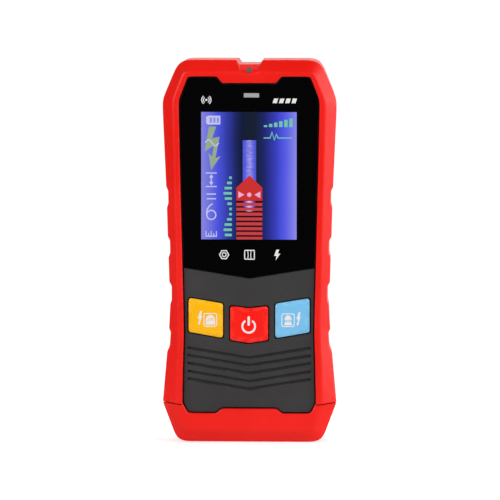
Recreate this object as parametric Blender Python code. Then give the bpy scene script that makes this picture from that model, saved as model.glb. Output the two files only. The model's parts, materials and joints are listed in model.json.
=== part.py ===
"""Handheld stud finder (wall scanner), standing upright on its flat bottom end.

Frame: +Z up, the front (display side) faces -Y, +X is to the right of the front,
and the origin is the centre of the bottom of the object's box. Lengths at the top
are in millimetres and are turned into metres by MM.
"""

import math

import bmesh
import bpy
from mathutils import Matrix, Vector

MM = 0.001

# ---------------------------------------------------------------- driving dimensions (mm)
HEIGHT = 147.0
Y_FRONT = -14.0          # front band of the red shell
Y_EDGE = -10.0           # where the shell's front slope meets its side wall
Y_SHELL_BACK = 6.2       # rear edge of the red shell
Y_REAR = 13.6            # flat rear face of the rear housing
Y_PAD = 14.0             # felt pads stand this far back
Y_PANEL = -12.6          # face of the grey front panel
Y_LIP = -12.35           # underside of the shell's front lip
Y_PLATE = (-11.45, -10.4)  # thin plate of the front panel
GAP = 0.35               # clearance between mouldings
DRAFT = 0.22             # share of the slope's width that the side wall draws in by
SEAM_Z, SEAM_X, SEAM_SLOPE = 14.3, 25.5, 0.136   # seam above the lower bumper
KEY_TRAVEL = 0.5
DOOR_X, DOOR_Z0, DOOR_Z1 = 16.4, 5.4, 64.4
BATTERY = (26.2, 17.1, 46.0)   # width, depth, height of the 9 V block

# Half outline from the bottom centre up the right side to the top centre.
# Each station: outer edge (x, z), front band's outer edge (x, z), panel opening (x, z),
# outer edge without grip notches (x, or None where there is no notch).
STATIONS = [
    ((10.4, 0.0), (10.4, 4.4), (10.4, 13.0), None),
    ((12.7, 0.0), (12.7, 4.4), (12.7, 11.2), None),
    ((22.8, 0.0), (22.4, 4.4), (22.9, 11.2), None),
    ((25.0, 0.05), (23.5, 4.5), (23.35, 11.3), None),
    ((26.4, 0.4), (24.3, 4.8), (23.75, 11.75), None),
    ((27.5, 1.15), (24.9, 5.4), (24.1, 12.35), None),
    ((28.3, 2.3), (25.3, 6.2), (24.5, 13.05), None),
    ((32.7, 13.8), (27.8, 13.7), (25.1, 14.05), None),
    ((33.05, 14.8), (28.0, 14.7), (25.5, 14.8), None),
    ((33.2, 15.6), (28.05, 15.6), (25.68, 15.6), None),
    ((33.1, 16.6), (28.0, 16.6), (25.72, 16.6), None),
    ((31.75, 34.6), (27.45, 34.6), (25.3, 34.6), 31.75),
    ((30.7, 37.1), (27.35, 37.1), (25.2, 37.1), 31.6),
    ((30.3, 42.1), (27.25, 42.1), (25.1, 42.1), 31.15),
    ((31.0, 43.6), (27.25, 43.6), (25.1, 43.6), 31.0),
    ((30.5, 52.9), (27.4, 52.9), (25.25, 52.9), 30.95),
    ((29.9, 54.5), (27.45, 54.5), (25.3, 54.5), 30.93),
    ((29.9, 59.9), (27.6, 59.9), (25.43, 59.9), 30.92),
    ((30.9, 61.6), (27.65, 61.6), (25.47, 61.6), 30.95),
    ((31.2, 70.8), (27.85, 70.8), (25.7, 70.8), 31.25),
    ((30.5, 72.8), (27.9, 72.8), (25.75, 72.8), 31.3),
    ((30.6, 77.5), (28.0, 77.5), (25.86, 77.5), 31.45),
    ((31.5, 79.1), (28.03, 79.1), (25.9, 79.1), 31.5),
    ((31.8, 90.1), (28.3, 90.1), (26.18, 90.1), 31.85),
    ((31.2, 91.7), (28.33, 91.7), (26.2, 91.7), 31.9),
    ((31.3, 96.5), (28.45, 96.5), (26.33, 96.5), 32.05),
    ((32.1, 98.2), (28.5, 98.2), (26.37, 98.2), 32.1),
    ((33.3, 127.0), (29.15, 127.0), (26.98, 127.0), None),
    ((33.5, 129.2), (29.28, 129.2), (27.03, 129.2), None),
    ((33.3, 131.2), (29.18, 131.2), (27.03, 131.2), None),
    ((32.8, 133.4), (28.8, 133.2), (26.75, 132.8), None),
    ((28.3, 143.9), (25.6, 140.9), (23.95, 139.5), None),
    ((27.5, 145.2), (25.2, 141.6), (23.75, 139.95), None),
    ((26.4, 146.1), (24.7, 142.05), (23.5, 140.25), None),
    ((25.0, 146.75), (24.0, 142.3), (23.15, 140.5), None),
    ((23.4, 147.0), (23.2, 142.4), (22.6, 140.6), None),
    ((12.4, 147.0), (12.4, 142.4), (12.4, 140.6), None),
    ((10.3, 147.0), (10.3, 142.4), (10.3, 138.1), None),
]

COLOURS = {
    "shell_red": ((0.80, 0.018, 0.012), 0.42, 0.0),
    "panel_grey": ((0.048, 0.045, 0.046), 0.62, 0.0),
    "rear_grey": ((0.040, 0.038, 0.040), 0.60, 0.0),
    "window_black": ((0.004, 0.004, 0.005), 0.06, 0.0),
    "key_yellow": ((0.95, 0.50, 0.0), 0.35, 0.0),
    "key_red": ((0.85, 0.015, 0.010), 0.35, 0.0),
    "key_blue": ((0.20, 0.52, 0.80), 0.35, 0.0),
    "light_grey": ((0.42, 0.42, 0.42), 0.30, 0.0),
    "mark_grey": ((0.10, 0.08, 0.075), 0.60, 0.0),
    "display_blue": ((0.12, 0.12, 0.60), 0.20, 0.0),
    "board_green": ((0.02, 0.16, 0.06), 0.45, 0.0),
    "black_plastic": ((0.015, 0.015, 0.016), 0.50, 0.0),
    "cream_plastic": ((0.75, 0.70, 0.58), 0.50, 0.0),
    "steel": ((0.55, 0.55, 0.56), 0.30, 1.0),
    "copper": ((0.72, 0.30, 0.14), 0.30, 1.0),
    "battery_can": ((0.06, 0.06, 0.07), 0.35, 0.3),
    "nickel": ((0.62, 0.60, 0.56), 0.28, 1.0),
    "felt": ((0.02, 0.02, 0.022), 0.95, 0.0),
    "flex_amber": ((0.55, 0.25, 0.03), 0.40, 0.0),
    "wire_red": ((0.60, 0.02, 0.02), 0.45, 0.0),
    "wire_black": ((0.01, 0.01, 0.01), 0.45, 0.0),
}


# ---------------------------------------------------------------- helpers
def clear_scene():
    for obj in list(bpy.data.objects):
        bpy.data.objects.remove(obj, do_unlink=True)
    for mesh in list(bpy.data.meshes):
        bpy.data.meshes.remove(mesh)


def material(name):
    found = bpy.data.materials.get(name)
    if found:
        return found
    colour, roughness, metallic = COLOURS[name]
    made = bpy.data.materials.new(name)
    made.use_nodes = True
    shader = made.node_tree.nodes["Principled BSDF"]
    shader.inputs["Base Color"].default_value = (*colour, 1.0)
    shader.inputs["Roughness"].default_value = roughness
    shader.inputs["Metallic"].default_value = metallic
    made.diffuse_color = (*colour, 1.0)
    return made


def add(name, bm, mat, origin=(0.0, 0.0, 0.0), smooth=None):
    """Makes a named object of bm, whose points are in mm, with its origin at origin."""
    bmesh.ops.recalc_face_normals(bm, faces=bm.faces)
    if bm.calc_volume(signed=True) < 0:
        bmesh.ops.reverse_faces(bm, faces=bm.faces)
    shift = Vector(origin)
    for vert in bm.verts:
        vert.co = (vert.co - shift) * MM
    mesh = bpy.data.meshes.new(name)
    bm.to_mesh(mesh)
    bm.free()
    if smooth is not None:
        mesh.shade_smooth()
        mesh.set_sharp_from_angle(angle=math.radians(smooth))
    obj = bpy.data.objects.new(name, mesh)
    obj.location = shift * MM
    bpy.context.scene.collection.objects.link(obj)
    if mat:
        mesh.materials.append(material(mat))
    return obj


def cutter(name, bm):
    obj = add(name, bm, None)
    obj.hide_render = True
    obj.display_type = "WIRE"
    return obj


def boolean(obj, other, operation="DIFFERENCE", solver="EXACT"):
    modifier = obj.modifiers.new(other.name, "BOOLEAN")
    modifier.object = other
    modifier.operation = operation
    modifier.solver = solver


def loft(rings, closed=False):
    """A body through rings of equal point counts: capped at both ends, or closed on itself."""
    bm = bmesh.new()
    rows = [[bm.verts.new(p) for p in ring] for ring in rings]
    count = len(rows[0])
    pairs = list(zip(rows, rows[1:]))
    if closed:
        pairs.append((rows[-1], rows[0]))
    for a, b in pairs:
        for i in range(count):
            j = (i + 1) % count
            bm.faces.new((a[i], a[j], b[j], b[i]))
    if not closed:
        bm.faces.new(rows[0])
        bm.faces.new(rows[-1])
    return bm


def prism(points, y0, y1):
    """The outline (x, z) extruded from y0 to y1."""
    return loft([[(x, y0, z) for x, z in points], [(x, y1, z) for x, z in points]])


def tapered(points, layers):
    """Stacked outlines: layers of (y, inset)."""
    return loft([[(x, y, z) for x, z in offset(points, -inset)] for y, inset in layers])


def box(x0, x1, y0, y1, z0, z1):
    return prism([(x0, z0), (x1, z0), (x1, z1), (x0, z1)], y0, y1)


def cylinder(x, z, radius, y0, y1, sides=24):
    pts = [
        (x + radius * math.cos(2 * math.pi * i / sides), z + radius * math.sin(2 * math.pi * i / sides))
        for i in range(sides)
    ]
    return prism(pts, y0, y1)


def turned(x, z, profile, sides=32):
    """A profile of (radius, y) turned about the line through (x, z) along Y."""
    rings = []
    for i in range(sides):
        a = 2 * math.pi * i / sides
        rings.append([(x + r * math.cos(a), y, z + r * math.sin(a)) for r, y in profile])
    return loft(rings, closed=True)


def area(points):
    return 0.5 * sum(
        a[0] * b[1] - b[0] * a[1] for a, b in zip(points, points[1:] + points[:1])
    )


def offset(points, distance):
    """The outline moved outwards by distance, with mitred corners."""
    sign = 1.0 if area(points) > 0 else -1.0
    moved = []
    count = len(points)
    for i in range(count):
        a, b, c = (Vector(points[k % count]) for k in (i - 1, i, i + 1))
        d1, d2 = (b - a).normalized(), (c - b).normalized()
        n1 = Vector((d1.y, -d1.x)) * sign
        n2 = Vector((d2.y, -d2.x)) * sign
        mitre = n1 + n2
        mitre = mitre / max(0.35, mitre.dot(n1)) if mitre.length > 1e-9 else n1
        moved.append(tuple(b + mitre * distance))
    return moved


def rounded(points, radius, steps=3):
    """The outline with each corner turned into a small arc."""
    made = []
    count = len(points)
    for i in range(count):
        a, b, c = (Vector(points[k % count]) for k in (i - 1, i, i + 1))
        u, v = (a - b).normalized(), (c - b).normalized()
        angle = math.acos(max(-1.0, min(1.0, u.dot(v))))
        cut = min(radius / math.tan(angle / 2), 0.45 * (a - b).length, 0.45 * (c - b).length)
        start, end = b + u * cut, b + v * cut
        for k in range(steps + 1):
            t = k / steps
            made.append(tuple((1 - t) ** 2 * start + 2 * t * (1 - t) * b + t * t * end))
    return made


def mirrored(half):
    """Right half from bottom to top, closed by its mirror image."""
    return half + [(-x, z) for x, z in reversed(half)]


def mix(a, b, t):
    return tuple(p + (q - p) * t for p, q in zip(a, b))


OUTER = mirrored([s[0] for s in STATIONS])
PLAIN = mirrored([(s[3] or s[0][0], s[0][1]) for s in STATIONS])
BAND = mirrored([s[1] for s in STATIONS])
OPENING = mirrored([s[2] for s in STATIONS])


def between(a, b, t):
    return [mix(p, q, t) for p, q in zip(a, b)]


def at(points, y):
    return [(x, y, z) for x, z in points]


def drawn_in(a, b, t):
    """The sides drawn in by draft, while the top and the bottom end stay level."""
    return [(p[0] + (q[0] - p[0]) * t, p[1]) for p, q in zip(a, b)]


def lowered(points, drop):
    """The top edge set down by drop, fading out below the upper corners."""
    return [(x, z - drop * max(0.0, min(1.0, (z - 128.0) / 16.0))) for x, z in points]


def inner_wall(t, top):
    """The inside of the shell's wall, kept below the solid block along the top."""
    return [(x, min(z, top)) for x, z in between(PLAIN, BAND, t)]


def inner_unique(t, top):
    """As inner_wall, but the corner's points stay apart where the block flattens them."""
    made = []
    for (x, z), (bx, bz) in zip(between(PLAIN, BAND, t), BAND):
        if z > top:
            drop = z - top
            z = top - 0.02 * drop
        made.append((x, z))
    return made


# ---------------------------------------------------------------- red shell and bumper
def seam_height(x):
    return SEAM_Z + max(0.0, abs(x) - SEAM_X) * SEAM_SLOPE


def seam_cutter(name, above, clearance):
    edge = [(x, seam_height(x) + clearance) for x in (-45, -SEAM_X, SEAM_X, 45)]
    far = HEIGHT + 20 if above else -20
    points = edge + [(45, far), (-45, far)]
    return cutter(name, prism(points, -30, 30))


def shell_body():
    bevel = between(OPENING, BAND, 0.16)
    wall = inner_unique(0.5, 142.5)
    rings = [
        at(OPENING, Y_LIP),
        at(OPENING, Y_FRONT + 0.35),
        at(bevel, Y_FRONT),
        at(BAND, Y_FRONT),
        at(OUTER, Y_EDGE),
        at(drawn_in(OUTER, BAND, DRAFT), Y_SHELL_BACK),
        at(wall, Y_SHELL_BACK),
        at(wall, Y_LIP),
    ]
    return loft(rings, closed=True)


def face_y(z):
    """The recessed slope below the top notch."""
    return -10.5 - (145.4 - z) * 1.206


def notch_section(floor_z, half, top_half, y):
    return [(-half, y, floor_z), (half, y, floor_z), (top_half, y, 150.0), (-top_half, y, 150.0)]


def build_shell():
    frame = add("outer_frame", shell_body(), "shell_red")
    boolean(frame, seam_cutter("cut_below_seam", False, 0.15), solver="MANIFOLD")
    notch = loft(
        [
            notch_section(142.25, 3.15, 6.9, -14.3),
            notch_section(145.4, 4.0, 7.2, -10.5),
            notch_section(145.4, 4.0, 7.2, 20.0),
        ]
    )
    boolean(frame, cutter("cut_top_notch", notch), solver="MANIFOLD")
    outline = rounded([(-1.5, 142.8), (1.5, 142.8), (0.55, 144.95), (-0.55, 144.95)], 0.4, 2)
    pocket = loft(
        [
            [(x, face_y(z) - 3.0, z) for x, z in outline],
            [(x, face_y(z) + 0.7, z) for x, z in outline],
        ]
    )
    boolean(frame, cutter("cut_mark_pocket", pocket), solver="MANIFOLD")
    mark = offset(outline, -0.3)
    add(
        "centre_mark",
        loft(
            [
                [(x, face_y(z) - 0.1, z) for x, z in mark],
                [(x, face_y(z) + 0.4, z) for x, z in mark],
            ]
        ),
        "mark_grey",
    )
    bumper = add("lower_bumper", shell_body(), "shell_red")
    boolean(bumper, seam_cutter("cut_above_seam", True, -0.15), solver="MANIFOLD")


# ---------------------------------------------------------------- front panel, window, keys
KEYS = {
    "left_key": ([(-23.25, 55.6), (-10.05, 53.4), (-10.05, 40.15), (-23.25, 42.45)], "key_yellow"),
    "power_key": (
        [(-7.3, 52.5), (0.0, 51.6), (7.3, 52.5), (7.3, 39.4), (0.0, 38.2), (-7.3, 39.4)],
        "key_red",
    ),
    "right_key": ([(10.05, 53.4), (23.25, 55.6), (23.25, 42.45), (10.05, 40.15)], "key_blue"),
}
SCREWS = {"upper_left": (-24.0, 133.0), "upper_right": (24.0, 133.0), "lower_left": (-22.3, 17.5), "lower_right": (22.3, 17.5)}
BOARD_SCREWS = {"left": (-20.0, 33.8), "right": (20.0, 33.8), "top": (-15.5, 134.6)}
WINDOW_EDGE, WINDOW_POINT = 67.3, 63.2     # lower edge of the window, at its sides and centre
GROOVES = [36.3, 33.4, 30.4, 27.25, 24.35]  # height of each groove's ends
GROOVE_X, GROOVE_DROP, GROOVE_HALF = 23.7, 3.85, 0.48
ACTIVE = (-18.45, 18.45, 77.8, 127.1)      # lit area of the display
DISPLAY = (-21.35, 21.35, 70.8, 129.9)
INDICATOR = (0.9, 133.4, 3.05, 0.85)


def chevron_edge(x, lift=0.0):
    return WINDOW_POINT + (WINDOW_EDGE - WINDOW_POINT) * min(1.0, abs(x) / 25.0) + lift


def above_chevron(name, lift):
    pts = [(-40, chevron_edge(25, lift)), (-25, chevron_edge(25, lift)), (0, chevron_edge(0, lift)),
           (25, chevron_edge(25, lift)), (40, chevron_edge(25, lift)), (40, 200), (-40, 200)]
    return cutter(name, prism(pts, -30, 30))


def below_chevron(name, lift):
    pts = [(-40, chevron_edge(25, lift)), (-25, chevron_edge(25, lift)), (0, chevron_edge(0, lift)),
           (25, chevron_edge(25, lift)), (40, chevron_edge(25, lift)), (40, -50), (-40, -50)]
    return cutter(name, prism(pts, -30, 30))


def build_front():
    plate = add("front_panel", prism(offset(OPENING, 1.5), *Y_PLATE), "panel_grey")
    raised = add("raised_panel", prism(offset(OPENING, -GAP), Y_PANEL, Y_PLATE[1] - 0.4), None)
    raised.hide_render, raised.display_type = True, "WIRE"
    boolean(raised, above_chevron("cut_window_seat", -0.3))
    boolean(plate, raised, "UNION")
    for name, (x, z) in SCREWS.items():
        boolean(plate, cutter("boss_" + name, cylinder(x, z, 3.1, Y_PLATE[1] - 0.3, 9.6)), "UNION")
        boolean(plate, cutter("pilot_" + name, cylinder(x, z, 1.65, -2.0, 12.0, 16)))
    for name, (x, z) in BOARD_SCREWS.items():
        boolean(plate, cutter("board_boss_" + name, cylinder(x, z, 2.3, Y_PLATE[1] - 0.3, -8.9, 20)), "UNION")
        boolean(plate, cutter("board_pilot_" + name, cylinder(x, z, 1.25, -10.9, -8.0, 14)))
    boolean(plate, cutter("cut_display", box(-22.9, 22.9, -20, 0, 69.3, 131.4)))
    x, z, a, b = INDICATOR
    boolean(plate, cutter("cut_indicator", box(x - a - 0.3, x + a + 0.3, -20, 0, z - b - 0.3, z + b + 0.3)))
    for name, (points, _) in KEYS.items():
        hole = rounded(offset(points, 0.35), 1.2)
        boolean(plate, cutter("cut_" + name, prism(hole, -20, 0)))
    for i, end in enumerate(GROOVES):
        low = end - GROOVE_DROP
        pts = [
            (-GROOVE_X, end + GROOVE_HALF), (-GROOVE_X, end - GROOVE_HALF), (0, low - GROOVE_HALF),
            (GROOVE_X, end - GROOVE_HALF), (GROOVE_X, end + GROOVE_HALF), (0, low + GROOVE_HALF),
        ]
        boolean(plate, cutter("cut_groove_%d" % (i + 1), prism(pts, -20, Y_PANEL + 0.6)))

    window = add("display_window", prism(offset(OPENING, -0.45), -12.85, -11.75), "window_black")
    boolean(window, below_chevron("cut_below_window", 0.0))
    boolean(window, cutter("cut_window_light", box(x - a - 0.3, x + a + 0.3, -20, 0, z - b - 0.3, z + b + 0.3)))
    lens = rounded([(x - a, z - b), (x + a, z - b), (x + a, z + b), (x - a, z + b)], 0.25, 2)
    add("indicator_lens", prism(lens, -12.85, -9.9), "light_grey")
    add("indicator_led", box(x - 1.6, x + 1.6, -9.6, -8.9, z - 0.8, z + 0.8), "cream_plastic")

    for name, (points, colour) in KEYS.items():
        cx = sum(p[0] for p in points) / len(points)
        cz = sum(p[1] for p in points) / len(points)
        outline = rounded(points, 1.1)
        skirt = rounded(offset(points, 0.9), 1.1)
        inside = rounded(offset(points, -1.6), 0.6)
        rings = [
            at(inside, -11.6), at(inside, -9.5), at(skirt, -9.5), at(skirt, -10.1), at(outline, -10.1),
            at(outline, -13.1), at(offset(outline, -0.2), -13.55), at(offset(outline, -0.6), -13.8),
        ]
        add(name, loft(rings), colour, origin=(cx, -11.6, cz))
        side = name.split("_")[0]
        body = add("switch_" + side, box(cx - 3, cx + 3, -10.2, -8.9, cz - 3, cz + 3), "black_plastic")
        boolean(body, cutter("bore_" + side, cylinder(cx, cz, 1.9, -12, -9.3, 20)))
        add("plunger_" + side, cylinder(cx, cz, 1.5, -11.3, -9.9, 20), "cream_plastic", origin=(cx, -11.3, cz), smooth=40)


# ---------------------------------------------------------------- display and boards
def build_inside():
    x0, x1, z0, z1 = DISPLAY
    add("display_module", box(x0, x1, -11.3, -9.2, z0, z1), "display_blue")
    bezel = add("display_bezel", box(-22.6, 22.6, -11.3, -8.9, 69.6, 131.1), "black_plastic")
    boolean(bezel, cutter("bezel_inside", box(x0 - 0.3, x1 + 0.3, -20, 0, z0 - 0.3, z1 + 0.3)))
    boolean(bezel, cutter("bezel_slot", box(-8.0, 8.0, -10.6, 0, 60, 72)))
    add("display_flex", box(-6.5, 6.5, -10.3, -10.05, 59.5, 70.4), "flex_amber")
    add("display_connector", box(-7.5, 7.5, -9.7, -8.9, 58.6, 61.8), "cream_plastic")

    board = add(
        "main_board",
        prism([(-23.6, 29.5), (23.6, 29.5), (23.6, 125.5), (19.4, 128.5), (19.4, 137.3), (-19.4, 137.3), (-19.4, 128.5), (-23.6, 125.5)], -8.6, -7.4),
        "board_green",
    )
    for name, (x, z) in BOARD_SCREWS.items():
        boolean(board, cutter("board_hole_" + name, cylinder(x, z, 1.4, -12, 0, 14)))
        head = [(0.0001, -5.4), (1.5, -5.4), (2.2, -5.9), (2.2, -7.05), (1.0, -7.05), (1.0, -10.4), (0.6, -10.7), (0.0001, -10.7)]
        screw = add("board_screw_" + name, screw_body(x, z, head, 20), "steel", smooth=35)
        cross_recess(screw, name, x, z, -5.4, 1.1, -0.7)
    add("controller_chip", box(-5.0, 5.0, -7.1, -6.0, 116.0, 126.0), "black_plastic")
    add("buzzer", turned(-13.0, 73.0, [(1.0, -4.0), (1.0, -2.9), (6.0, -2.9), (6.0, -7.1), (0.001, -7.1), (0.001, -4.0)], 28), "black_plastic", smooth=40)
    add("sensor_header", box(-10.0, 10.0, -7.1, 9.0, 79.6, 82.4), "black_plastic")

    add(
        "sensor_board",
        prism([(-19.3, 70.0), (19.3, 70.0), (19.3, 136.0), (-19.3, 136.0)], 9.3, 10.5),
        "board_green",
    )
    cz = 105.0
    add(
        "coil_bobbin",
        turned(0.0, cz, [(12.0, 9.0), (12.0, 0.5), (18.0, 0.5), (18.0, 1.5), (13.2, 1.5), (13.2, 8.0), (18.0, 8.0), (18.0, 9.0)], 40),
        "black_plastic",
        smooth=40,
    )
    add("detection_coil", turned(0.0, cz, [(13.5, 1.8), (17.3, 1.8), (17.6, 2.2), (17.6, 7.3), (17.3, 7.7), (13.5, 7.7)], 40), "copper", smooth=40)


def screw_body(x, z, profile, sides):
    """A turned screw whose profile starts and ends on its axis."""
    bm = bmesh.new()
    rings = []
    for r, y in profile:
        if r < 0.01:
            rings.append([bm.verts.new((x, y, z))])
        else:
            rings.append(
                [
                    bm.verts.new((x + r * math.cos(2 * math.pi * i / sides), y, z + r * math.sin(2 * math.pi * i / sides)))
                    for i in range(sides)
                ]
            )
    for a, b in zip(rings, rings[1:]):
        for i in range(sides):
            j = (i + 1) % sides
            quad = [a[i % len(a)], a[j % len(a)], b[j % len(b)], b[i % len(b)]]
            corners = [v for k, v in enumerate(quad) if v not in quad[:k]]
            if len(corners) > 2:
                bm.faces.new(corners)
    return bm


def cross_recess(obj, name, x, z, y_face, arm, depth):
    """A cross-shaped driver recess in the screw's head: depth is signed along Y."""
    h = 0.28
    pts = [(h, h), (arm, h), (arm, -h), (h, -h), (h, -arm), (-h, -arm), (-h, -h), (-arm, -h), (-arm, h), (-h, h), (-h, arm), (h, arm)]
    far = y_face + (2 if depth < 0 else -2)
    boolean(obj, cutter("cross_" + name, prism([(x + a, z + b) for a, b in pts], min(far, y_face + depth), max(far, y_face + depth))))


# ---------------------------------------------------------------- rear housing, battery and its door
def build_rear():
    def ring(t, y):
        return at(between(PLAIN, BAND, t), y)

    tongue = inner_unique(0.60, 142.1)
    hollow = inner_unique(0.84, 141.4)
    rings = [
        at(hollow, 11.6), at(hollow, 4.0), at(tongue, 4.0), at(tongue, 6.55),
        at(lowered(drawn_in(PLAIN, BAND, 0.50), 0.9), 6.55), at(lowered(drawn_in(PLAIN, BAND, 0.54), 1.2), 10.6),
        ring(0.60, 12.6), ring(0.84, Y_REAR),
    ]
    rear = add("rear_housing", loft(rings), "rear_grey")
    walls = cutter("battery_walls", box(-15.1, 15.1, -7.1, 12.5, 4.2, 64.0))
    boolean(rear, walls, "UNION")
    boolean(rear, cutter("door_collar", box(-17.9, 17.9, 9.6, 12.5, 3.2, 66.6)), "UNION")
    for name, (x, z) in SCREWS.items():
        boolean(rear, cutter("rear_boss_" + name, cylinder(x, z, 4.4, 9.95, 12.5)), "UNION")
    boolean(rear, cutter("battery_recess", box(-13.9, 13.9, -6.0, 20.0, 5.8, 62.6)))
    boolean(rear, cutter("door_recess", box(-DOOR_X - 0.3, DOOR_X + 0.3, 11.5, 20.0, DOOR_Z0 - 0.3, DOOR_Z1 + 0.3)))
    boolean(rear, cutter("lead_slot", box(-5.0, 5.0, -2.0, 5.0, 60.0, 66.0)))
    boolean(rear, cutter("rear_top_notch", loft([notch_section(144.8, 4.3, 7.6, 3.0), notch_section(144.8, 4.3, 7.6, 20.0)])))
    for name, (x, z) in SCREWS.items():
        boolean(rear, cutter("counterbore_" + name, cylinder(x, z, 3.4, 11.3, 20.0)))
        boolean(rear, cutter("clearance_" + name, cylinder(x, z, 1.8, 5.0, 12.0, 16)))
        head = [(0.0001, 12.9), (2.2, 12.9), (3.0, 12.3), (3.0, 11.65), (1.3, 11.65), (1.3, 0.5), (0.7, -0.2), (0.0001, -0.2)]
        screw = add("housing_screw_" + name, screw_body(x, z, head, 24), "steel", smooth=35)
        cross_recess(screw, "housing_" + name, x, z, 12.9, 1.6, -0.9)
    pads = {
        "upper_left": (-20.0, -8.0, 135.8, 140.2), "upper_right": (8.0, 20.0, 135.8, 140.2),
        "lower_left": (-25.6, -21.2, 24.5, 40.5), "lower_right": (21.2, 25.6, 24.5, 40.5),
    }
    for name, (x0, x1, z0, z1) in pads.items():
        pts = [(x0, z0), (x1, z0), (x1, z1), (x0, z1)]
        boolean(rear, cutter("pad_recess_" + name, prism(rounded(offset(pts, 0.3), 1.5), 13.05, 20.0)))
        add("glide_pad_" + name, tapered(rounded(pts, 1.4), [(13.35, 0.0), (Y_PAD - 0.15, 0.0), (Y_PAD, 0.15)]), "felt")

    door = add(
        "battery_door",
        tapered(
            rounded([(-DOOR_X, DOOR_Z0), (DOOR_X, DOOR_Z0), (DOOR_X, DOOR_Z1), (-DOOR_X, DOOR_Z1)], 0.8, 2),
            [(11.8, 0.0), (Y_REAR - 0.25, 0.0), (Y_REAR, 0.25)],
        ),
        "rear_grey",
        origin=(0.0, 11.8, 0.5 * (DOOR_Z0 + DOOR_Z1)),
    )
    for i in range(5):
        z = 52.6 + 1.9 * i
        boolean(door, cutter("door_grip_%d" % (i + 1), box(-6.0 + 0.6 * i, 6.0 - 0.6 * i, 13.1, 20.0, z - 0.45, z + 0.45)))

    width, depth, height = BATTERY
    y0, z0 = -5.65, 6.3
    can = rounded([(-width / 2, y0), (width / 2, y0), (width / 2, y0 + depth), (-width / 2, y0 + depth)], 2.0, 3)
    battery = add("battery", loft([[(x, y, z0) for x, y in can], [(x, y, z0 + height) for x, y in can]]), "battery_can")
    top = z0 + height
    yc = y0 + depth / 2
    for name, x, radius, sides in (("battery_terminal_round", 6.35, 2.9, 24), ("battery_terminal_hex", -6.35, 3.9, 6)):
        pts = [(x + radius * math.cos(2 * math.pi * k / sides), yc + radius * math.sin(2 * math.pi * k / sides)) for k in range(sides)]
        add(name, loft([[(a, b, top + 0.3) for a, b in pts], [(a, b, top + 2.7) for a, b in pts]]), "nickel")
    snap = rounded([(-12.6, yc - 6.2), (12.6, yc - 6.2), (12.6, yc + 6.2), (-12.6, yc + 6.2)], 2.5, 3)
    add("battery_snap", loft([[(x, y, top + 3.0) for x, y in snap], [(x, y, top + 5.6) for x, y in snap]]), "black_plastic")
    for name, x, colour in (("battery_lead_red", 2.4, "wire_red"), ("battery_lead_black", -2.4, "wire_black")):
        lead(name, [(x, 2.4, top + 6.0), (x, 2.2, top + 8.6), (x, 0.6, top + 12.0), (x, -3.0, top + 14.0), (x, -5.6, top + 14.6), (x, -7.0, top + 14.7)], 0.65, colour)


def lead(name, route, radius, colour):
    """A wire along a smooth curve through the route's points."""
    points = [Vector(p) for p in route]
    dense = []
    for i in range(len(points) - 1):
        p0, p1, p2, p3 = (points[max(0, min(len(points) - 1, i + k))] for k in (-1, 0, 1, 2))
        for k in range(4):
            t = k / 4
            dense.append(0.5 * (2 * p1 + (p2 - p0) * t + (2 * p0 - 5 * p1 + 4 * p2 - p3) * t * t + (3 * p1 - p0 - 3 * p2 + p3) * t ** 3))
    dense.append(points[-1])
    curve = bpy.data.curves.new(name, "CURVE")
    curve.dimensions = "3D"
    spline = curve.splines.new("POLY")
    spline.points.add(len(dense) - 1)
    for point, co in zip(spline.points, dense):
        point.co = (*(co * MM), 1.0)
    curve.bevel_depth = radius * MM
    curve.bevel_resolution = 2
    curve.use_fill_caps = True
    curve.materials.append(material(colour))
    obj = bpy.data.objects.new(name, curve)
    bpy.context.scene.collection.objects.link(obj)
    return obj


def main():
    clear_scene()
    build_shell()
    build_front()
    build_inside()
    build_rear()
    bpy.context.view_layer.update()


main()
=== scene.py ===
"""Looks of the handheld stud finder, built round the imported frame. Metres; tables below are in millimetres."""

import json
import math

import bmesh
import bpy
from mathutils import Matrix, Vector, noise


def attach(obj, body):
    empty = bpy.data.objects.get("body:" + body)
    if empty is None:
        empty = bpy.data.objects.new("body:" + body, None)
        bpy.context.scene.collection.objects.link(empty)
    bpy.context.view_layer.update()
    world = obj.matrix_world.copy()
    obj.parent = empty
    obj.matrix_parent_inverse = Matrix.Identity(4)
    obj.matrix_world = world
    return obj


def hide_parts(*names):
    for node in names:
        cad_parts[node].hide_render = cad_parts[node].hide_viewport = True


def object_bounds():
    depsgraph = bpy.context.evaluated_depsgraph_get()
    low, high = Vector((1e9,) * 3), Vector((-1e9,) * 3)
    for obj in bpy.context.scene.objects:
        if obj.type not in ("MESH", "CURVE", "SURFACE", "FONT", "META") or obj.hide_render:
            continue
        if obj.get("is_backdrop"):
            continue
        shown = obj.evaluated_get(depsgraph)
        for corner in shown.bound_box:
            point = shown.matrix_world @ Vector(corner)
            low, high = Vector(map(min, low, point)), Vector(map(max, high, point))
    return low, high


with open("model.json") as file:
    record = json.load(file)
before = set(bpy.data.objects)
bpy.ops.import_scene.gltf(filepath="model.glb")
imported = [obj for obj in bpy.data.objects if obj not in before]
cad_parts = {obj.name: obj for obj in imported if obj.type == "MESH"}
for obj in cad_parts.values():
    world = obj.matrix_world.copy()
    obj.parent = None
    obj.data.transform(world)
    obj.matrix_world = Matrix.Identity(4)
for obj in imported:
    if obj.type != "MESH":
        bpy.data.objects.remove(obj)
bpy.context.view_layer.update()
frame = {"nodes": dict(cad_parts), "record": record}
MM = 0.001
HOUSING = "housing"

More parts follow.
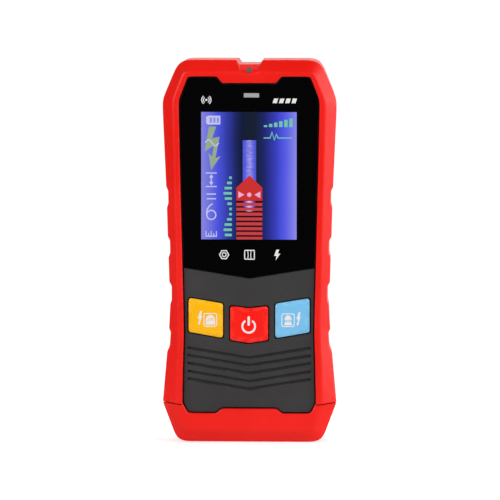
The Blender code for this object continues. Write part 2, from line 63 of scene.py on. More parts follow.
# ------------------------------------------------------------------ outline tables (mm)
# outer edge, front band's outer edge, panel opening, outer edge without grip notches, corner radius
NOTCH = 0.35
STATIONS = [
    ((10.4, 0.0), (10.4, 4.4), (10.4, 13.0), 10.4, 0.5),
    ((12.7, 0.0), (12.7, 4.4), (12.7, 11.2), 12.7, 0.5),
    ((25.2, 0.0), (23.6, 4.4), (23.5, 11.2), 25.2, 3.0),
    ((28.25, 1.6), (25.5, 6.0), (24.3, 12.6), 28.25, 3.0),
    ((33.2, 14.6), (28.0, 14.5), (25.4, 14.7), 33.2, 0.5),
    ((33.4, 15.6), (28.05, 15.6), (25.68, 15.6), 33.4, 0.6),
    ((31.75, 34.6), (27.45, 34.6), (25.3, 34.6), 31.75, NOTCH),
    ((30.7, 36.9), (27.35, 36.9), (25.2, 36.9), 31.6, NOTCH),
    ((30.3, 42.1), (27.25, 42.1), (25.1, 42.1), 31.15, NOTCH),
    ((31.0, 43.6), (27.25, 43.6), (25.1, 43.6), 31.0, NOTCH),
    ((30.5, 52.9), (27.4, 52.9), (25.25, 52.9), 30.95, NOTCH),
    ((29.9, 54.5), (27.45, 54.5), (25.3, 54.5), 30.93, NOTCH),
    ((29.9, 59.9), (27.6, 59.9), (25.43, 59.9), 30.92, NOTCH),
    ((30.9, 61.6), (27.65, 61.6), (25.47, 61.6), 30.95, NOTCH),
    ((31.2, 70.8), (27.85, 70.8), (25.7, 70.8), 31.25, NOTCH),
    ((30.5, 72.8), (27.9, 72.8), (25.75, 72.8), 31.3, NOTCH),
    ((30.6, 77.5), (28.0, 77.5), (25.86, 77.5), 31.45, NOTCH),
    ((31.5, 79.1), (28.03, 79.1), (25.9, 79.1), 31.5, NOTCH),
    ((31.8, 90.1), (28.3, 90.1), (26.18, 90.1), 31.85, NOTCH),
    ((31.2, 91.7), (28.33, 91.7), (26.2, 91.7), 31.9, NOTCH),
    ((31.3, 96.5), (28.45, 96.5), (26.33, 96.5), 32.05, NOTCH),
    ((32.1, 98.2), (28.5, 98.2), (26.37, 98.2), 32.1, NOTCH),
    ((33.5, 129.6), (29.3, 129.2), (27.05, 129.2), 33.5, 4.0),
    ((33.1, 132.6), (29.0, 132.3), (26.9, 132.0), 33.1, 4.0),
    ((27.9, 144.8), (25.4, 141.4), (23.85, 139.8), 27.9, 3.0),
    ((24.6, 147.0), (24.0, 142.4), (23.3, 140.6), 24.6, 3.0),
    ((12.4, 147.0), (12.4, 142.4), (12.4, 140.6), 12.4, 0.5),
    ((10.3, 147.0), (10.3, 142.4), (10.3, 138.1), 10.3, 0.5),
    ((5.15, 147.0), (3.35, 142.5), (5.15, 138.1), 5.15, 0.18),
    ((4.0, 145.4), (3.0, 142.45), (4.0, 138.1), 4.0, 0.18),
]
Y_FRONT, Y_EDGE, Y_SHELL_BACK, Y_REAR = -14.0, -10.0, 6.2, 13.6
Y_LIP, Y_PANEL, Y_PLATE = -12.35, -12.6, (-11.45, -10.4)
DRAFT = 0.22


def station(entry, sign=1.0):
    (ox, oz), (bx, bz), (px, pz), plain, radius = entry
    return (sign * ox, oz, sign * bx, bz, sign * px, pz, sign * plain, radius)


def six(vector, radius):
    return tuple(vector) + (radius,)


def round_path(stations, closed=False, steps=4):
    """Turns each station into a short arc, all three outlines together."""
    made = []
    count = len(stations)
    for i in range(count):
        cur = Vector(stations[i][:7])
        radius = stations[i][7]
        if not closed and i in (0, count - 1):
            made.append(tuple(cur))
            continue
        prev, nxt = Vector(stations[i - 1][:7]), Vector(stations[(i + 1) % count][:7])
        la = math.hypot(cur[0] - prev[0], cur[1] - prev[1]) or 1e-6
        lb = math.hypot(nxt[0] - cur[0], nxt[1] - cur[1]) or 1e-6
        a = cur + (prev - cur) * min(0.42, radius / la)
        b = cur + (nxt - cur) * min(0.42, radius / lb)
        for k in range(steps + 1):
            t = k / steps
            made.append(tuple((1 - t) ** 2 * a + 2 * t * (1 - t) * cur + t * t * b))
    return made


RIGHT = [station(s) for s in STATIONS]
LEFT = [station(s, -1.0) for s in STATIONS]
LOOP = round_path(RIGHT + LEFT[::-1], closed=True)
SEAM_TOP = ((33.37, 15.55), (28.03, 14.85), (25.45, 14.5), 33.37, 0.0)
SEAM_LOW = ((33.3, 15.2), (28.0, 14.5), (25.25, 14.15), 33.3, 0.0)


def outline(kind, pts=LOOP):
    at = {"outer": (0, 1), "band": (2, 3), "opening": (4, 5), "plain": (6, 1)}[kind]
    return [(p[at[0]], p[at[1]]) for p in pts]


# ------------------------------------------------------------------ mesh helpers (mm in, metres out)
def even_shading(obj, smooth):
    """Smooth rounded edges beside faces that stay flat."""
    obj.data.shade_smooth()
    obj.data.set_sharp_from_angle(angle=math.radians(smooth))
    m = obj.modifiers.new("shading", "WEIGHTED_NORMAL")
    m.mode, m.weight, m.keep_sharp = "FACE_AREA", 100, True
    apply(obj)


def obj_from(name, bm, mats, smooth=30.0):
    bmesh.ops.remove_doubles(bm, verts=bm.verts, dist=1e-4)
    bmesh.ops.dissolve_degenerate(bm, edges=bm.edges, dist=1e-5)
    bmesh.ops.recalc_face_normals(bm, faces=bm.faces)
    if bm.calc_volume(signed=True) < 0:
        bmesh.ops.reverse_faces(bm, faces=bm.faces)
    for v in bm.verts:
        v.co *= MM
    mesh = bpy.data.meshes.new(name)
    bm.to_mesh(mesh)
    bm.free()
    for m in mats:
        mesh.materials.append(m)
    obj = bpy.data.objects.new(name, mesh)
    bpy.context.scene.collection.objects.link(obj)
    if smooth:
        even_shading(obj, smooth)
    return obj


def loft(rings, closed=False, caps=True):
    bm = bmesh.new()
    rows = [[bm.verts.new(p) for p in ring] for ring in rings]
    n = len(rows[0])
    pairs = list(zip(rows, rows[1:]))
    if closed:
        pairs.append((rows[-1], rows[0]))
    for a, b in pairs:
        for i in range(n):
            j = (i + 1) % n
            bm.faces.new((a[i], a[j], b[j], b[i]))
    if caps and not closed:
        bm.faces.new(rows[0])
        bm.faces.new(rows[-1])
    return bm


def sweep(sections):
    """A solid through equal closed sections along an open path, capped at both ends."""
    return loft(sections)


def prism(points, y0, y1):
    return loft([[(x, y0, z) for x, z in points], [(x, y1, z) for x, z in points]])


def box(x0, x1, y0, y1, z0, z1):
    return prism([(x0, z0), (x1, z0), (x1, z1), (x0, z1)], y0, y1)


def circle(x, z, r, n=32, a0=0.0):
    return [(x + r * math.cos(a0 + 2 * math.pi * i / n), z + r * math.sin(a0 + 2 * math.pi * i / n)) for i in range(n)]


def area(pts):
    return 0.5 * sum(a[0] * b[1] - b[0] * a[1] for a, b in zip(pts, pts[1:] + pts[:1]))


def offset(pts, d):
    sign = 1.0 if area(pts) > 0 else -1.0
    out = []
    n = len(pts)
    for i in range(n):
        a, b, c = (Vector(pts[k % n]) for k in (i - 1, i, i + 1))
        if (b - a).length < 1e-7 or (c - b).length < 1e-7:
            out.append(tuple(b))
            continue
        d1, d2 = (b - a).normalized(), (c - b).normalized()
        n1, n2 = Vector((d1.y, -d1.x)) * sign, Vector((d2.y, -d2.x)) * sign
        m = n1 + n2
        m = m / max(0.35, m.dot(n1)) if m.length > 1e-9 else n1
        out.append(tuple(b + m * d))
    return out


def rounded(pts, radius, steps=5):
    out = []
    n = len(pts)
    for i in range(n):
        a, b, c = (Vector(pts[k % n]) for k in (i - 1, i, i + 1))
        u, v = (a - b).normalized(), (c - b).normalized()
        angle = math.acos(max(-1.0, min(1.0, u.dot(v))))
        r = radius[i] if isinstance(radius, (list, tuple)) else radius
        cut = min(r / math.tan(angle / 2), 0.45 * (a - b).length, 0.45 * (c - b).length) if angle < 3.13 else 0.0
        s, e = b + u * cut, b + v * cut
        for k in range(steps + 1):
            t = k / steps
            out.append(tuple((1 - t) ** 2 * s + 2 * t * (1 - t) * b + t * t * e))
    return out


def layered(pts, layers):
    """Stacked outlines from layers of (y, inset)."""
    return loft([[(x, y, z) for x, z in offset(pts, -i)] for y, i in layers])


def layered_round(pts, radius, layers, steps=6):
    """Stacked outlines whose corners shrink as the outline does."""
    radii = radius if isinstance(radius, (list, tuple)) else [radius] * len(pts)
    return loft([[(x, y, z) for x, z in rounded(offset(pts, -i), [max(0.12, r - i) for r in radii], steps)] for y, i in layers])


def temp(bm):
    return obj_from("cutter", bm, [], smooth=0)


def cut(obj, bm, operation="DIFFERENCE", solver="EXACT"):
    other = temp(bm)
    m = obj.modifiers.new("cut", "BOOLEAN")
    m.object, m.operation, m.solver = other, operation, solver
    apply(obj)
    bpy.data.objects.remove(other, do_unlink=True)


def apply(obj):
    dg = bpy.context.evaluated_depsgraph_get()
    bpy.context.view_layer.update()
    mesh = bpy.data.meshes.new_from_object(obj.evaluated_get(bpy.context.evaluated_depsgraph_get()))
    old = obj.data
    obj.modifiers.clear()
    obj.data = mesh
    mesh.name = obj.name
    bpy.data.meshes.remove(old)


def clean(obj, flat=0.4):
    """Merges the coplanar pieces that a Boolean leaves."""
    bm = bmesh.new()
    bm.from_mesh(obj.data)
    bmesh.ops.remove_doubles(bm, verts=bm.verts, dist=2e-6)
    bmesh.ops.dissolve_limit(bm, angle_limit=math.radians(flat), verts=bm.verts, edges=bm.edges)
    bm.to_mesh(obj.data)
    bm.free()


def bevel(obj, width, segments=2, angle=28.0, smooth=35.0):
    clean(obj)
    m = obj.modifiers.new("edge", "BEVEL")
    m.width, m.segments, m.limit_method = width * MM, segments, "ANGLE"
    m.angle_limit = math.radians(angle)
    m.use_clamp_overlap = True
    m.miter_outer = "MITER_ARC"
    apply(obj)
    even_shading(obj, smooth)


def wear_and_highlight(obj, weight):
    """Stores 0 to 1 per point for the materials' lighter edges: edge wear where an edge is exposed, a painted highlight
    where an edge catches the light.
    """
    layer = obj.data.attributes.new("wear_and_highlight", "FLOAT", "POINT")
    for i, v in enumerate(obj.data.vertices):
        layer.data[i].value = weight(v.co / MM)


# ------------------------------------------------------------------ materials
def nodes_of(name):
    mat = bpy.data.materials.new(name)
    mat.use_nodes = True
    nt = mat.node_tree
    return mat, nt, nt.nodes["Principled BSDF"]


def coords(nt, scale=(1, 1, 1)):
    tc = nt.nodes.new("ShaderNodeTexCoord")
    mp = nt.nodes.new("ShaderNodeMapping")
    mp.inputs["Scale"].default_value = scale
    nt.links.new(tc.outputs["Object"], mp.inputs["Vector"])
    return mp.outputs["Vector"]


def noise_tex(nt, vec, scale, detail=2.0, rough=0.5):
    n = nt.nodes.new("ShaderNodeTexNoise")
    n.inputs["Scale"].default_value = scale
    n.inputs["Detail"].default_value = detail
    n.inputs["Roughness"].default_value = rough
    nt.links.new(vec, n.inputs["Vector"])
    return n.outputs["Fac"]


def remap(nt, value, lo, hi, a, b):
    m = nt.nodes.new("ShaderNodeMapRange")
    m.inputs["From Min"].default_value = lo
    m.inputs["From Max"].default_value = hi
    m.inputs["To Min"].default_value = a
    m.inputs["To Max"].default_value = b
    nt.links.new(value, m.inputs["Value"])
    return m.outputs["Result"]


def math_node(nt, op, a, b):
    m = nt.nodes.new("ShaderNodeMath")
    m.operation = op
    for i, v in enumerate((a, b)):
        if isinstance(v, (int, float)):
            m.inputs[i].default_value = v
        else:
            nt.links.new(v, m.inputs[i])
    return m.outputs[0]


def mix_rgb(nt, fac, a, b):
    m = nt.nodes.new("ShaderNodeMix")
    m.data_type = "RGBA"
    for key, v in ((0, fac), (6, a), (7, b)):
        if isinstance(v, (int, float)):
            m.inputs[key].default_value = v
        elif isinstance(v, tuple):
            m.inputs[key].default_value = (*v, 1.0)
        else:
            nt.links.new(v, m.inputs[key])
    return m.outputs[2]


def add_bump(nt, shader, height, strength, distance, previous=None):
    b = nt.nodes.new("ShaderNodeBump")
    b.inputs["Strength"].default_value = strength
    b.inputs["Distance"].default_value = distance
    nt.links.new(height, b.inputs["Height"])
    if previous is not None:
        nt.links.new(previous, b.inputs["Normal"])
    nt.links.new(b.outputs["Normal"], shader.inputs["Normal"])
    return b.outputs["Normal"]


def plastic(name, colour, rough, grain=4200.0, grain_depth=0.00003, grain_strength=0.35, vary=0.05,
            rough_vary=0.06, wear_and_highlight_colour=None, wear_and_highlight_rough=-0.12, specular=0.5, coat=0.0):
    """Moulded plastic: fine spark texture, slow colour and gloss variation, and polished edges, made lighter by the
    per-point mask: edge wear on some parts, painted highlights on others.
    """
    mat, nt, sh = nodes_of(name)
    vec = coords(nt)
    slow = noise_tex(nt, vec, 45.0, 3.0, 0.55)
    fine = noise_tex(nt, vec, 900.0, 4.0, 0.6)
    dark = tuple(c * (1.0 - vary) for c in colour)
    light = tuple(min(1.0, c * (1.0 + vary)) for c in colour)
    col = mix_rgb(nt, remap(nt, slow, 0.3, 0.7, 0.0, 1.0), dark, light)
    col = mix_rgb(nt, remap(nt, fine, 0.35, 0.75, 0.0, 0.35), col, tuple(c * (1.0 - 1.6 * vary) for c in colour))
    r = remap(nt, slow, 0.25, 0.75, rough - rough_vary, rough + rough_vary)
    # The per-point mask lightens the colour: edge wear on some parts, a painted highlight on edges that catch the light
    # on others.
    if wear_and_highlight_colour:
        at = nt.nodes.new("ShaderNodeAttribute")
        at.attribute_name = "wear_and_highlight"
        breakup = remap(nt, noise_tex(nt, vec, 380.0, 5.0, 0.65), 0.42, 0.62, 0.0, 1.0)
        amount = math_node(nt, "MULTIPLY", at.outputs["Fac"], breakup)
        col = mix_rgb(nt, math_node(nt, "MULTIPLY", amount, 0.45), col, wear_and_highlight_colour)
        r = math_node(nt, "ADD", r, math_node(nt, "MULTIPLY", at.outputs["Fac"], wear_and_highlight_rough))
    nt.links.new(col, sh.inputs["Base Color"])
    nt.links.new(r, sh.inputs["Roughness"])
    sh.inputs["Specular IOR Level"].default_value = specular
    sh.inputs["Coat Weight"].default_value = coat
    sh.inputs["Coat Roughness"].default_value = 0.12
    vor = nt.nodes.new("ShaderNodeTexVoronoi")
    vor.feature = "SMOOTH_F1"
    vor.inputs["Scale"].default_value = grain
    nt.links.new(vec, vor.inputs["Vector"])
    grit = math_node(nt, "ADD", vor.outputs["Distance"], noise_tex(nt, vec, grain * 0.55, 3.0, 0.6))
    add_bump(nt, sh, grit, grain_strength, grain_depth)
    return mat


def metal(name, colour, rough, scale=(1, 1, 1), strength=0.25):
    mat, nt, sh = nodes_of(name)
    vec = coords(nt, scale)
    streak = noise_tex(nt, vec, 1800.0, 4.0, 0.6)
    slow = noise_tex(nt, coords(nt), 120.0, 3.0, 0.5)
    col = mix_rgb(nt, remap(nt, slow, 0.3, 0.7, 0.0, 1.0), tuple(c * 0.86 for c in colour), colour)
    nt.links.new(col, sh.inputs["Base Color"])
    nt.links.new(remap(nt, streak, 0.3, 0.7, rough - 0.08, rough + 0.12), sh.inputs["Roughness"])
    sh.inputs["Metallic"].default_value = 1.0
    add_bump(nt, sh, streak, strength, 0.00002)
    return mat


def felt(name, colour):
    mat, nt, sh = nodes_of(name)
    vec = coords(nt, (1.0, 1.0, 0.45))
    fibre = noise_tex(nt, vec, 3600.0, 6.0, 0.75)
    cloud = noise_tex(nt, coords(nt), 420.0, 4.0, 0.6)
    col = mix_rgb(nt, remap(nt, fibre, 0.35, 0.7, 0.0, 1.0), tuple(c * 0.45 for c in colour), tuple(c * 2.4 for c in colour))
    col = mix_rgb(nt, remap(nt, cloud, 0.3, 0.7, 0.0, 0.4), col, colour)
    nt.links.new(col, sh.inputs["Base Color"])
    sh.inputs["Roughness"].default_value = 0.95
    sh.inputs["Sheen Weight"].default_value = 0.35
    sh.inputs["Sheen Roughness"].default_value = 0.5
    add_bump(nt, sh, fibre, 0.9, 0.00012)
    return mat


def ink(name, colour, strength=0.0, rough=0.5):
    """Printed or lit marks, with a little unevenness."""
    mat, nt, sh = nodes_of(name)
    vec = coords(nt)
    n = noise_tex(nt, vec, 1400.0, 3.0, 0.6)
    col = mix_rgb(nt, remap(nt, n, 0.3, 0.7, 0.0, 1.0), tuple(c * 0.9 for c in colour), colour)
    if strength:
        sh.inputs["Base Color"].default_value = (0.0, 0.0, 0.0, 1.0)
        sh.inputs["Specular IOR Level"].default_value = 0.0
        nt.links.new(col, sh.inputs["Emission Color"])
        sh.inputs["Emission Strength"].default_value = strength
    else:
        nt.links.new(col, sh.inputs["Base Color"])
    sh.inputs["Roughness"].default_value = rough
    return mat


def srgb(r, g, b):
    def one(c):
        c /= 255.0
        return c / 12.92 if c <= 0.04045 else ((c + 0.055) / 1.055) ** 2.4
    return (one(r), one(g), one(b))


# The red's lighter wear-and-highlight colour is edge wear on the outer edges and a painted highlight on the opening's
# inner bevel.
M_RED = plastic("shell_red", (0.84, 0.0085, 0.004), 0.34, grain=3600.0, grain_depth=0.00002, grain_strength=0.22,
                vary=0.035, wear_and_highlight_colour=(0.92, 0.05, 0.035), specular=0.31)
# The panel's lighter wear-and-highlight grey is a painted highlight on the lower groove edges.
M_PANEL = plastic("panel_grey", (0.033, 0.031, 0.032), 0.52, grain=3000.0, grain_depth=0.00005, grain_strength=0.5,
                  vary=0.10, wear_and_highlight_colour=(0.20, 0.195, 0.195))
M_REAR = plastic("rear_grey", (0.040, 0.038, 0.040), 0.56, grain=2400.0, grain_depth=0.00006, grain_strength=0.55,
                 vary=0.12, wear_and_highlight_colour=(0.085, 0.082, 0.082))
# The window's lighter wear-and-highlight grey is a painted highlight on its bevel.
M_LENS = plastic("window_black", (0.0008, 0.0008, 0.0009), 0.05, grain=600.0, grain_depth=0.000002, grain_strength=0.05,
                 vary=0.1, rough_vary=0.015, specular=0.5, wear_and_highlight_colour=(0.16, 0.16, 0.165), wear_and_highlight_rough=0.12)
# The keys' lighter wear-and-highlight colours are painted highlights on their bevels.
M_YELLOW = plastic("key_yellow", (0.93, 0.455, 0.0), 0.30, grain=3000.0, grain_depth=0.00002, grain_strength=0.2,
                   vary=0.02, wear_and_highlight_colour=(1.0, 0.66, 0.12), wear_and_highlight_rough=-0.1, specular=0.28)
M_KEYRED = plastic("key_red", (0.92, 0.008, 0.004), 0.30, grain=3000.0, grain_depth=0.00002, grain_strength=0.2,
                   vary=0.03, wear_and_highlight_colour=(1.0, 0.12, 0.08), wear_and_highlight_rough=-0.1, specular=0.28)
M_BLUE = plastic("key_blue", (0.175, 0.50, 0.79), 0.30, grain=3000.0, grain_depth=0.00002, grain_strength=0.2,
                 vary=0.03, wear_and_highlight_colour=(0.40, 0.72, 0.95), wear_and_highlight_rough=-0.1, specular=0.28)
M_LIGHT = plastic("light_grey", (0.36, 0.36, 0.36), 0.25, grain=2500.0, grain_strength=0.1, vary=0.04)
M_MARK = plastic("mark_grey", (0.10, 0.075, 0.065), 0.55, vary=0.08)
M_BLACK = plastic("black_plastic", (0.014, 0.014, 0.015), 0.45, vary=0.15)
M_CREAM = plastic("cream_plastic", (0.70, 0.64, 0.50), 0.5, vary=0.05)
M_AMBER = plastic("flex_amber", (0.50, 0.22, 0.03), 0.35, vary=0.08)
M_BOARD = plastic("board_green", (0.012, 0.12, 0.045), 0.38, grain=1600.0, vary=0.2, coat=0.3)
M_STEEL = metal("steel", (0.60, 0.60, 0.61), 0.28, (1, 6, 1))
M_COPPER = metal("copper", (0.75, 0.30, 0.13), 0.32, (0.15, 3.0, 0.15))
M_NICKEL = metal("nickel", (0.66, 0.63, 0.58), 0.24)
M_WIRE_RED = plastic("wire_red", (0.55, 0.015, 0.012), 0.42, vary=0.05)
M_WIRE_BLACK = plastic("wire_black", (0.010, 0.010, 0.010), 0.42, vary=0.1)
M_FELT = felt("felt", (0.020, 0.020, 0.022))
M_WHITE = ink("print_white", (0.82, 0.80, 0.80), 0.0, 0.4)


def clear_glass():
    mat, nt, sh = nodes_of("clear_window")
    sh.inputs["Base Color"].default_value = (1, 1, 1, 1)
    sh.inputs["Transmission Weight"].default_value = 1.0
    sh.inputs["IOR"].default_value = 1.45
    n = noise_tex(nt, coords(nt), 260.0, 3.0, 0.5)
    nt.links.new(remap(nt, n, 0.3, 0.7, 0.0, 0.02), sh.inputs["Roughness"])
    return mat


M_GLASS = clear_glass()


def screen_picture():
    """The lit picture: violet at both sides, deeper blue inwards and nearly black down the middle."""
    mat, nt, sh = nodes_of("screen_picture")
    tc = nt.nodes.new("ShaderNodeTexCoord")
    sep = nt.nodes.new("ShaderNodeSeparateXYZ")
    nt.links.new(tc.outputs["Object"], sep.inputs[0])
    drift = noise_tex(nt, coords(nt), 30.0, 2.0, 0.5)
    x = math_node(nt, "ADD", sep.outputs["X"], math_node(nt, "MULTIPLY", math_node(nt, "SUBTRACT", drift, 0.5), 0.0025))
    fac = remap(nt, x, -0.0185, 0.0187, 0.0, 1.0)
    ramp = nt.nodes.new("ShaderNodeValToRGB")
    stops = [
        (0.000, (140, 140, 232)), (0.047, (126, 127, 232)), (0.110, (106, 111, 228)), (0.165, (80, 90, 230)), (0.193, (74, 83, 221)),
        (0.224, (68, 77, 203)), (0.256, (58, 67, 181)), (0.287, (51, 58, 163)), (0.318, (44, 52, 143)), (0.350, (34, 44, 113)),
        (0.381, (28, 38, 88)), (0.430, (19, 29, 62)), (0.500, (24, 32, 50)), (0.560, (24, 33, 56)), (0.600, (26, 37, 74)),
        (0.630, (30, 38, 96)), (0.662, (34, 41, 116)), (0.693, (41, 48, 140)), (0.724, (48, 55, 162)), (0.756, (54, 61, 181)),
        (0.787, (62, 70, 202)), (0.818, (73, 80, 220)), (0.849, (83, 89, 235)), (0.881, (95, 99, 238)), (0.912, (110, 113, 238)),
        (0.943, (125, 126, 240)), (0.975, (140, 139, 242)), (1.000, (156, 153, 240)),
    ]
    while len(ramp.color_ramp.elements) < len(stops):
        ramp.color_ramp.elements.new(0.5)
    for el, (pos, col) in zip(ramp.color_ramp.elements, stops):
        el.position = pos
        el.color = (*srgb(*col), 1.0)
    nt.links.new(fac, ramp.inputs["Fac"])
    # the fine grid of display dots
    wave = nt.nodes.new("ShaderNodeTexWave")
    wave.bands_direction = "X"
    wave.inputs["Scale"].default_value = 1040.0
    nt.links.new(tc.outputs["Object"], wave.inputs["Vector"])
    wave2 = nt.nodes.new("ShaderNodeTexWave")
    wave2.bands_direction = "Z"
    wave2.inputs["Scale"].default_value = 1040.0
    nt.links.new(tc.outputs["Object"], wave2.inputs["Vector"])
    grid = math_node(nt, "MULTIPLY", wave.outputs["Fac"], wave2.outputs["Fac"])
    col = mix_rgb(nt, remap(nt, grid, 0.0, 1.0, 0.0, 0.10), ramp.outputs["Color"], (0.0, 0.0, 0.0))
    sh.inputs["Base Color"].default_value = (0, 0, 0, 1)
    sh.inputs["Specular IOR Level"].default_value = 0.0
    nt.links.new(col, sh.inputs["Emission Color"])
    sh.inputs["Emission Strength"].default_value = 1.0
    return mat


M_SCREEN = screen_picture()
def lit_profile(name, x0, x1, stops, hatch):
    """A lit strip whose colour runs across its width, with a faint slanted hatch."""
    mat, nt, sh = nodes_of(name)
    tc = nt.nodes.new("ShaderNodeTexCoord")
    sep = nt.nodes.new("ShaderNodeSeparateXYZ")
    nt.links.new(tc.outputs["Object"], sep.inputs[0])
    ramp = nt.nodes.new("ShaderNodeValToRGB")
    while len(ramp.color_ramp.elements) < len(stops):
        ramp.color_ramp.elements.new(0.5)
    for el, (pos, col) in zip(ramp.color_ramp.elements, stops):
        el.position = pos
        el.color = (*srgb(*col), 1.0)
    nt.links.new(remap(nt, sep.outputs["X"], x0 * MM, x1 * MM, 0.0, 1.0), ramp.inputs["Fac"])
    mp = nt.nodes.new("ShaderNodeMapping")
    mp.inputs["Rotation"].default_value = (0.0, math.radians(32), 0.0)
    mp.inputs["Scale"].default_value = (0.25, 1.0, 1.0)
    nt.links.new(tc.outputs["Object"], mp.inputs["Vector"])
    lines = noise_tex(nt, mp.outputs["Vector"], 1500.0, 3.0, 0.6)
    col = mix_rgb(nt, remap(nt, lines, 0.40, 0.62, hatch, 0.0), ramp.outputs["Color"], srgb(78, 84, 206))
    sh.inputs["Base Color"].default_value = (0, 0, 0, 1)
    sh.inputs["Specular IOR Level"].default_value = 0.0
    nt.links.new(col, sh.inputs["Emission Color"])
    sh.inputs["Emission Strength"].default_value = 1.0
    return mat


LIT = {
    "pale": ink("lit_pale", srgb(205, 208, 250), 1.0),
    "olive": ink("lit_olive", srgb(158, 178, 148), 1.0),
    "green": ink("lit_green", srgb(120, 205, 178), 1.0),
    "column": lit_profile("lit_column_paint", -2.55, 2.65, [(0.0, (76, 84, 220)), (0.2, (98, 102, 232)), (0.38, (150, 149, 246)), (0.55, (172, 168, 248)), (0.72, (128, 128, 240)), (0.86, (96, 100, 232)), (1.0, (72, 80, 212))], 0.55),
    "glow": lit_profile("lit_glow_paint", -2.7, 2.7, [(0.0, (60, 10, 40)), (0.2, (120, 84, 214)), (0.5, (236, 200, 250)), (0.8, (124, 88, 214)), (1.0, (60, 10, 40))], 0.0),
    "violet": ink("lit_violet", srgb(150, 152, 240), 1.0),
    "violet_mid": ink("lit_violet_mid", srgb(186, 182, 246), 1.0),
    "blue": ink("lit_blue", srgb(84, 92, 224), 1.0),
    "red": ink("lit_red", srgb(214, 52, 50), 1.0),
    "red_soft": ink("lit_red_soft", srgb(204, 70, 74), 1.0),
    "dark": ink("lit_dark", srgb(50, 8, 22), 1.0),
    "pink": ink("lit_pink", srgb(250, 180, 226), 1.0),
}


# ------------------------------------------------------------------ red shell and bumper
def lerp(a, b, t):
    return a + (b - a) * t


def shell_section(st, shrink=0.0):
    """Closed section (x, y, z) of the shell at one station, from the opening round to the inner wall."""
    ox, oz, bx, bz, px, pz, plain, *_ = st
    O, B, P = Vector((ox, oz)), Vector((bx, bz)), Vector((px, pz))
    n = (B - P).normalized()
    # the slope runs to the outline without notches; a notch cuts straight back through it
    whole = (Vector((plain, oz)) - B).length
    edge_y = -14.0 + 4.0 * min(1.0, (O - B).length / max(1e-6, whole))

    def drafted(y):
        t = DRAFT * max(0.0, (y - Y_EDGE) / (Y_SHELL_BACK - Y_EDGE))
        return Vector((lerp(O.x, bx, t), O.y))

    inward = (B - O).normalized()
    flank = math.hypot((B - O).length, edge_y + 14.0)
    reach = min(1.7, 0.45 * ((B - P).length - 0.5), 0.4 * flank)
    ctrl = [(B - n * reach, -14.0), (B, -14.0), (B.lerp(O, reach / flank), lerp(-14.0, edge_y, reach / flank))]
    turn = []
    for k in range(7):
        t = k / 6
        w = ((1 - t) ** 2, 2 * t * (1 - t), t * t)
        turn.append((ctrl[0][0] * w[0] + ctrl[1][0] * w[1] + ctrl[2][0] * w[2], sum(c[1] * v for c, v in zip(ctrl, w))))
    soft = min(0.55 / flank, 0.3)
    near = min(0.5, soft * 1.8)
    edge = []
    for k in range(5):
        t = k / 4
        w = ((1 - t) ** 2, 2 * t * (1 - t), t * t)
        p0, y0 = O.lerp(B, soft), lerp(edge_y, -14.0, soft)
        edge.append((p0 * w[0] + O * (w[1] + w[2]), y0 * w[0] + edge_y * w[1] + (edge_y + 0.55) * w[2]))
    wall = Vector((lerp(plain, bx, 0.5), lerp(oz, bz, 0.5)))
    wall.y = min(wall.y, 142.5 - 0.02 * max(0.0, wall.y - 142.5))
    rows = [
        (P, Y_LIP), (P, -13.45), (P + n * 0.05, -13.70), (P + n * 0.16, -13.89), (P + n * 0.32, -13.98), (P + n * 0.5, -14.0),
        *turn, (O.lerp(B, near), lerp(edge_y, -14.0, near)), *edge,
        (drafted(-6.0), -6.0), (drafted(-1.0), -1.0), (drafted(3.5), 3.5), (drafted(5.8), 5.8),
        (drafted(6.05) + inward * 0.09, 6.08), (drafted(6.2) + inward * 0.28, 6.2),
        (wall, 6.2), (wall, -9.4), (B.lerp(P, 0.08), Y_LIP),
    ]
    pts = [Vector((p.x, y, p.y)) for p, y in rows]
    if shrink:
        mid = Vector((lerp(O.x, P.x, 0.4), -6.0, lerp(O.y, P.y, 0.4)))
        inner = []
        for p in pts:
            d = mid - p
            inner.append(p + Vector((math.copysign(min(abs(d.x), shrink), d.x), math.copysign(min(abs(d.y), shrink), d.y), 0)))
        pts = inner
    return [tuple(p) for p in pts]


def resample(path, step):
    """Extra stations on long runs, so that shading and the wear-and-highlight mask stay even."""
    out = [path[0]]
    for a, b in zip(path, path[1:]):
        length = math.hypot(b[0] - a[0], b[1] - a[1])
        parts = max(1, int(length / step))
        for k in range(1, parts + 1):
            t = k / parts
            out.append(tuple(lerp(p, q, t) for p, q in zip(a, b)))
    return out


def end_stations(path, inset=0.16):
    first, second = Vector(path[0][:7]), Vector(path[1][:7])
    t = min(0.4, inset / max(1e-6, (second - first).length))
    return tuple(first.lerp(second, t))


def swept(path):
    a, b = path[0], path[-1]
    path = [a, end_stations(path)] + path[1:-1] + [end_stations(path[::-1]), b]
    sections = [shell_section(p, 0.14 if i in (0, len(path) - 1) else 0.0) for i, p in enumerate(path)]
    return sweep(sections)


OPENING_EDGE = [Vector(p) for p in outline("opening")]


def near_opening(x, z):
    at = Vector((x, z))
    return min((at - p).length_squared for p in OPENING_EDGE) < 1.2


# Lighter red: a painted highlight on the opening's inner bevel (0.7), and edge wear on the outer rounding (1.0) and the
# back edge (0.5).
def shell_wear_and_highlight(co):
    x, y, z = co
    if -13.96 < y < -13.6 and near_opening(x, z):
        return 0.7
    if y > 5.7:
        return 0.5
    return 1.0 if -10.6 < y < -9.2 else 0.0


seam = next(i for i, s in enumerate(STATIONS) if s[0] == (33.4, 15.6))
top_half = [station(SEAM_TOP)] + RIGHT[seam:] + LEFT[::-1][: len(LEFT) - seam] + [station(SEAM_TOP, -1.0)]
low_half = [station(SEAM_LOW, -1.0)] + LEFT[:seam][::-1] + RIGHT[:seam] + [station(SEAM_LOW)]
shell = obj_from("outer_shell", swept(resample(round_path(top_half), 4.0)), [M_RED], smooth=38.0)
wear_and_highlight(shell, shell_wear_and_highlight)
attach(shell, HOUSING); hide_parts("outer_frame")

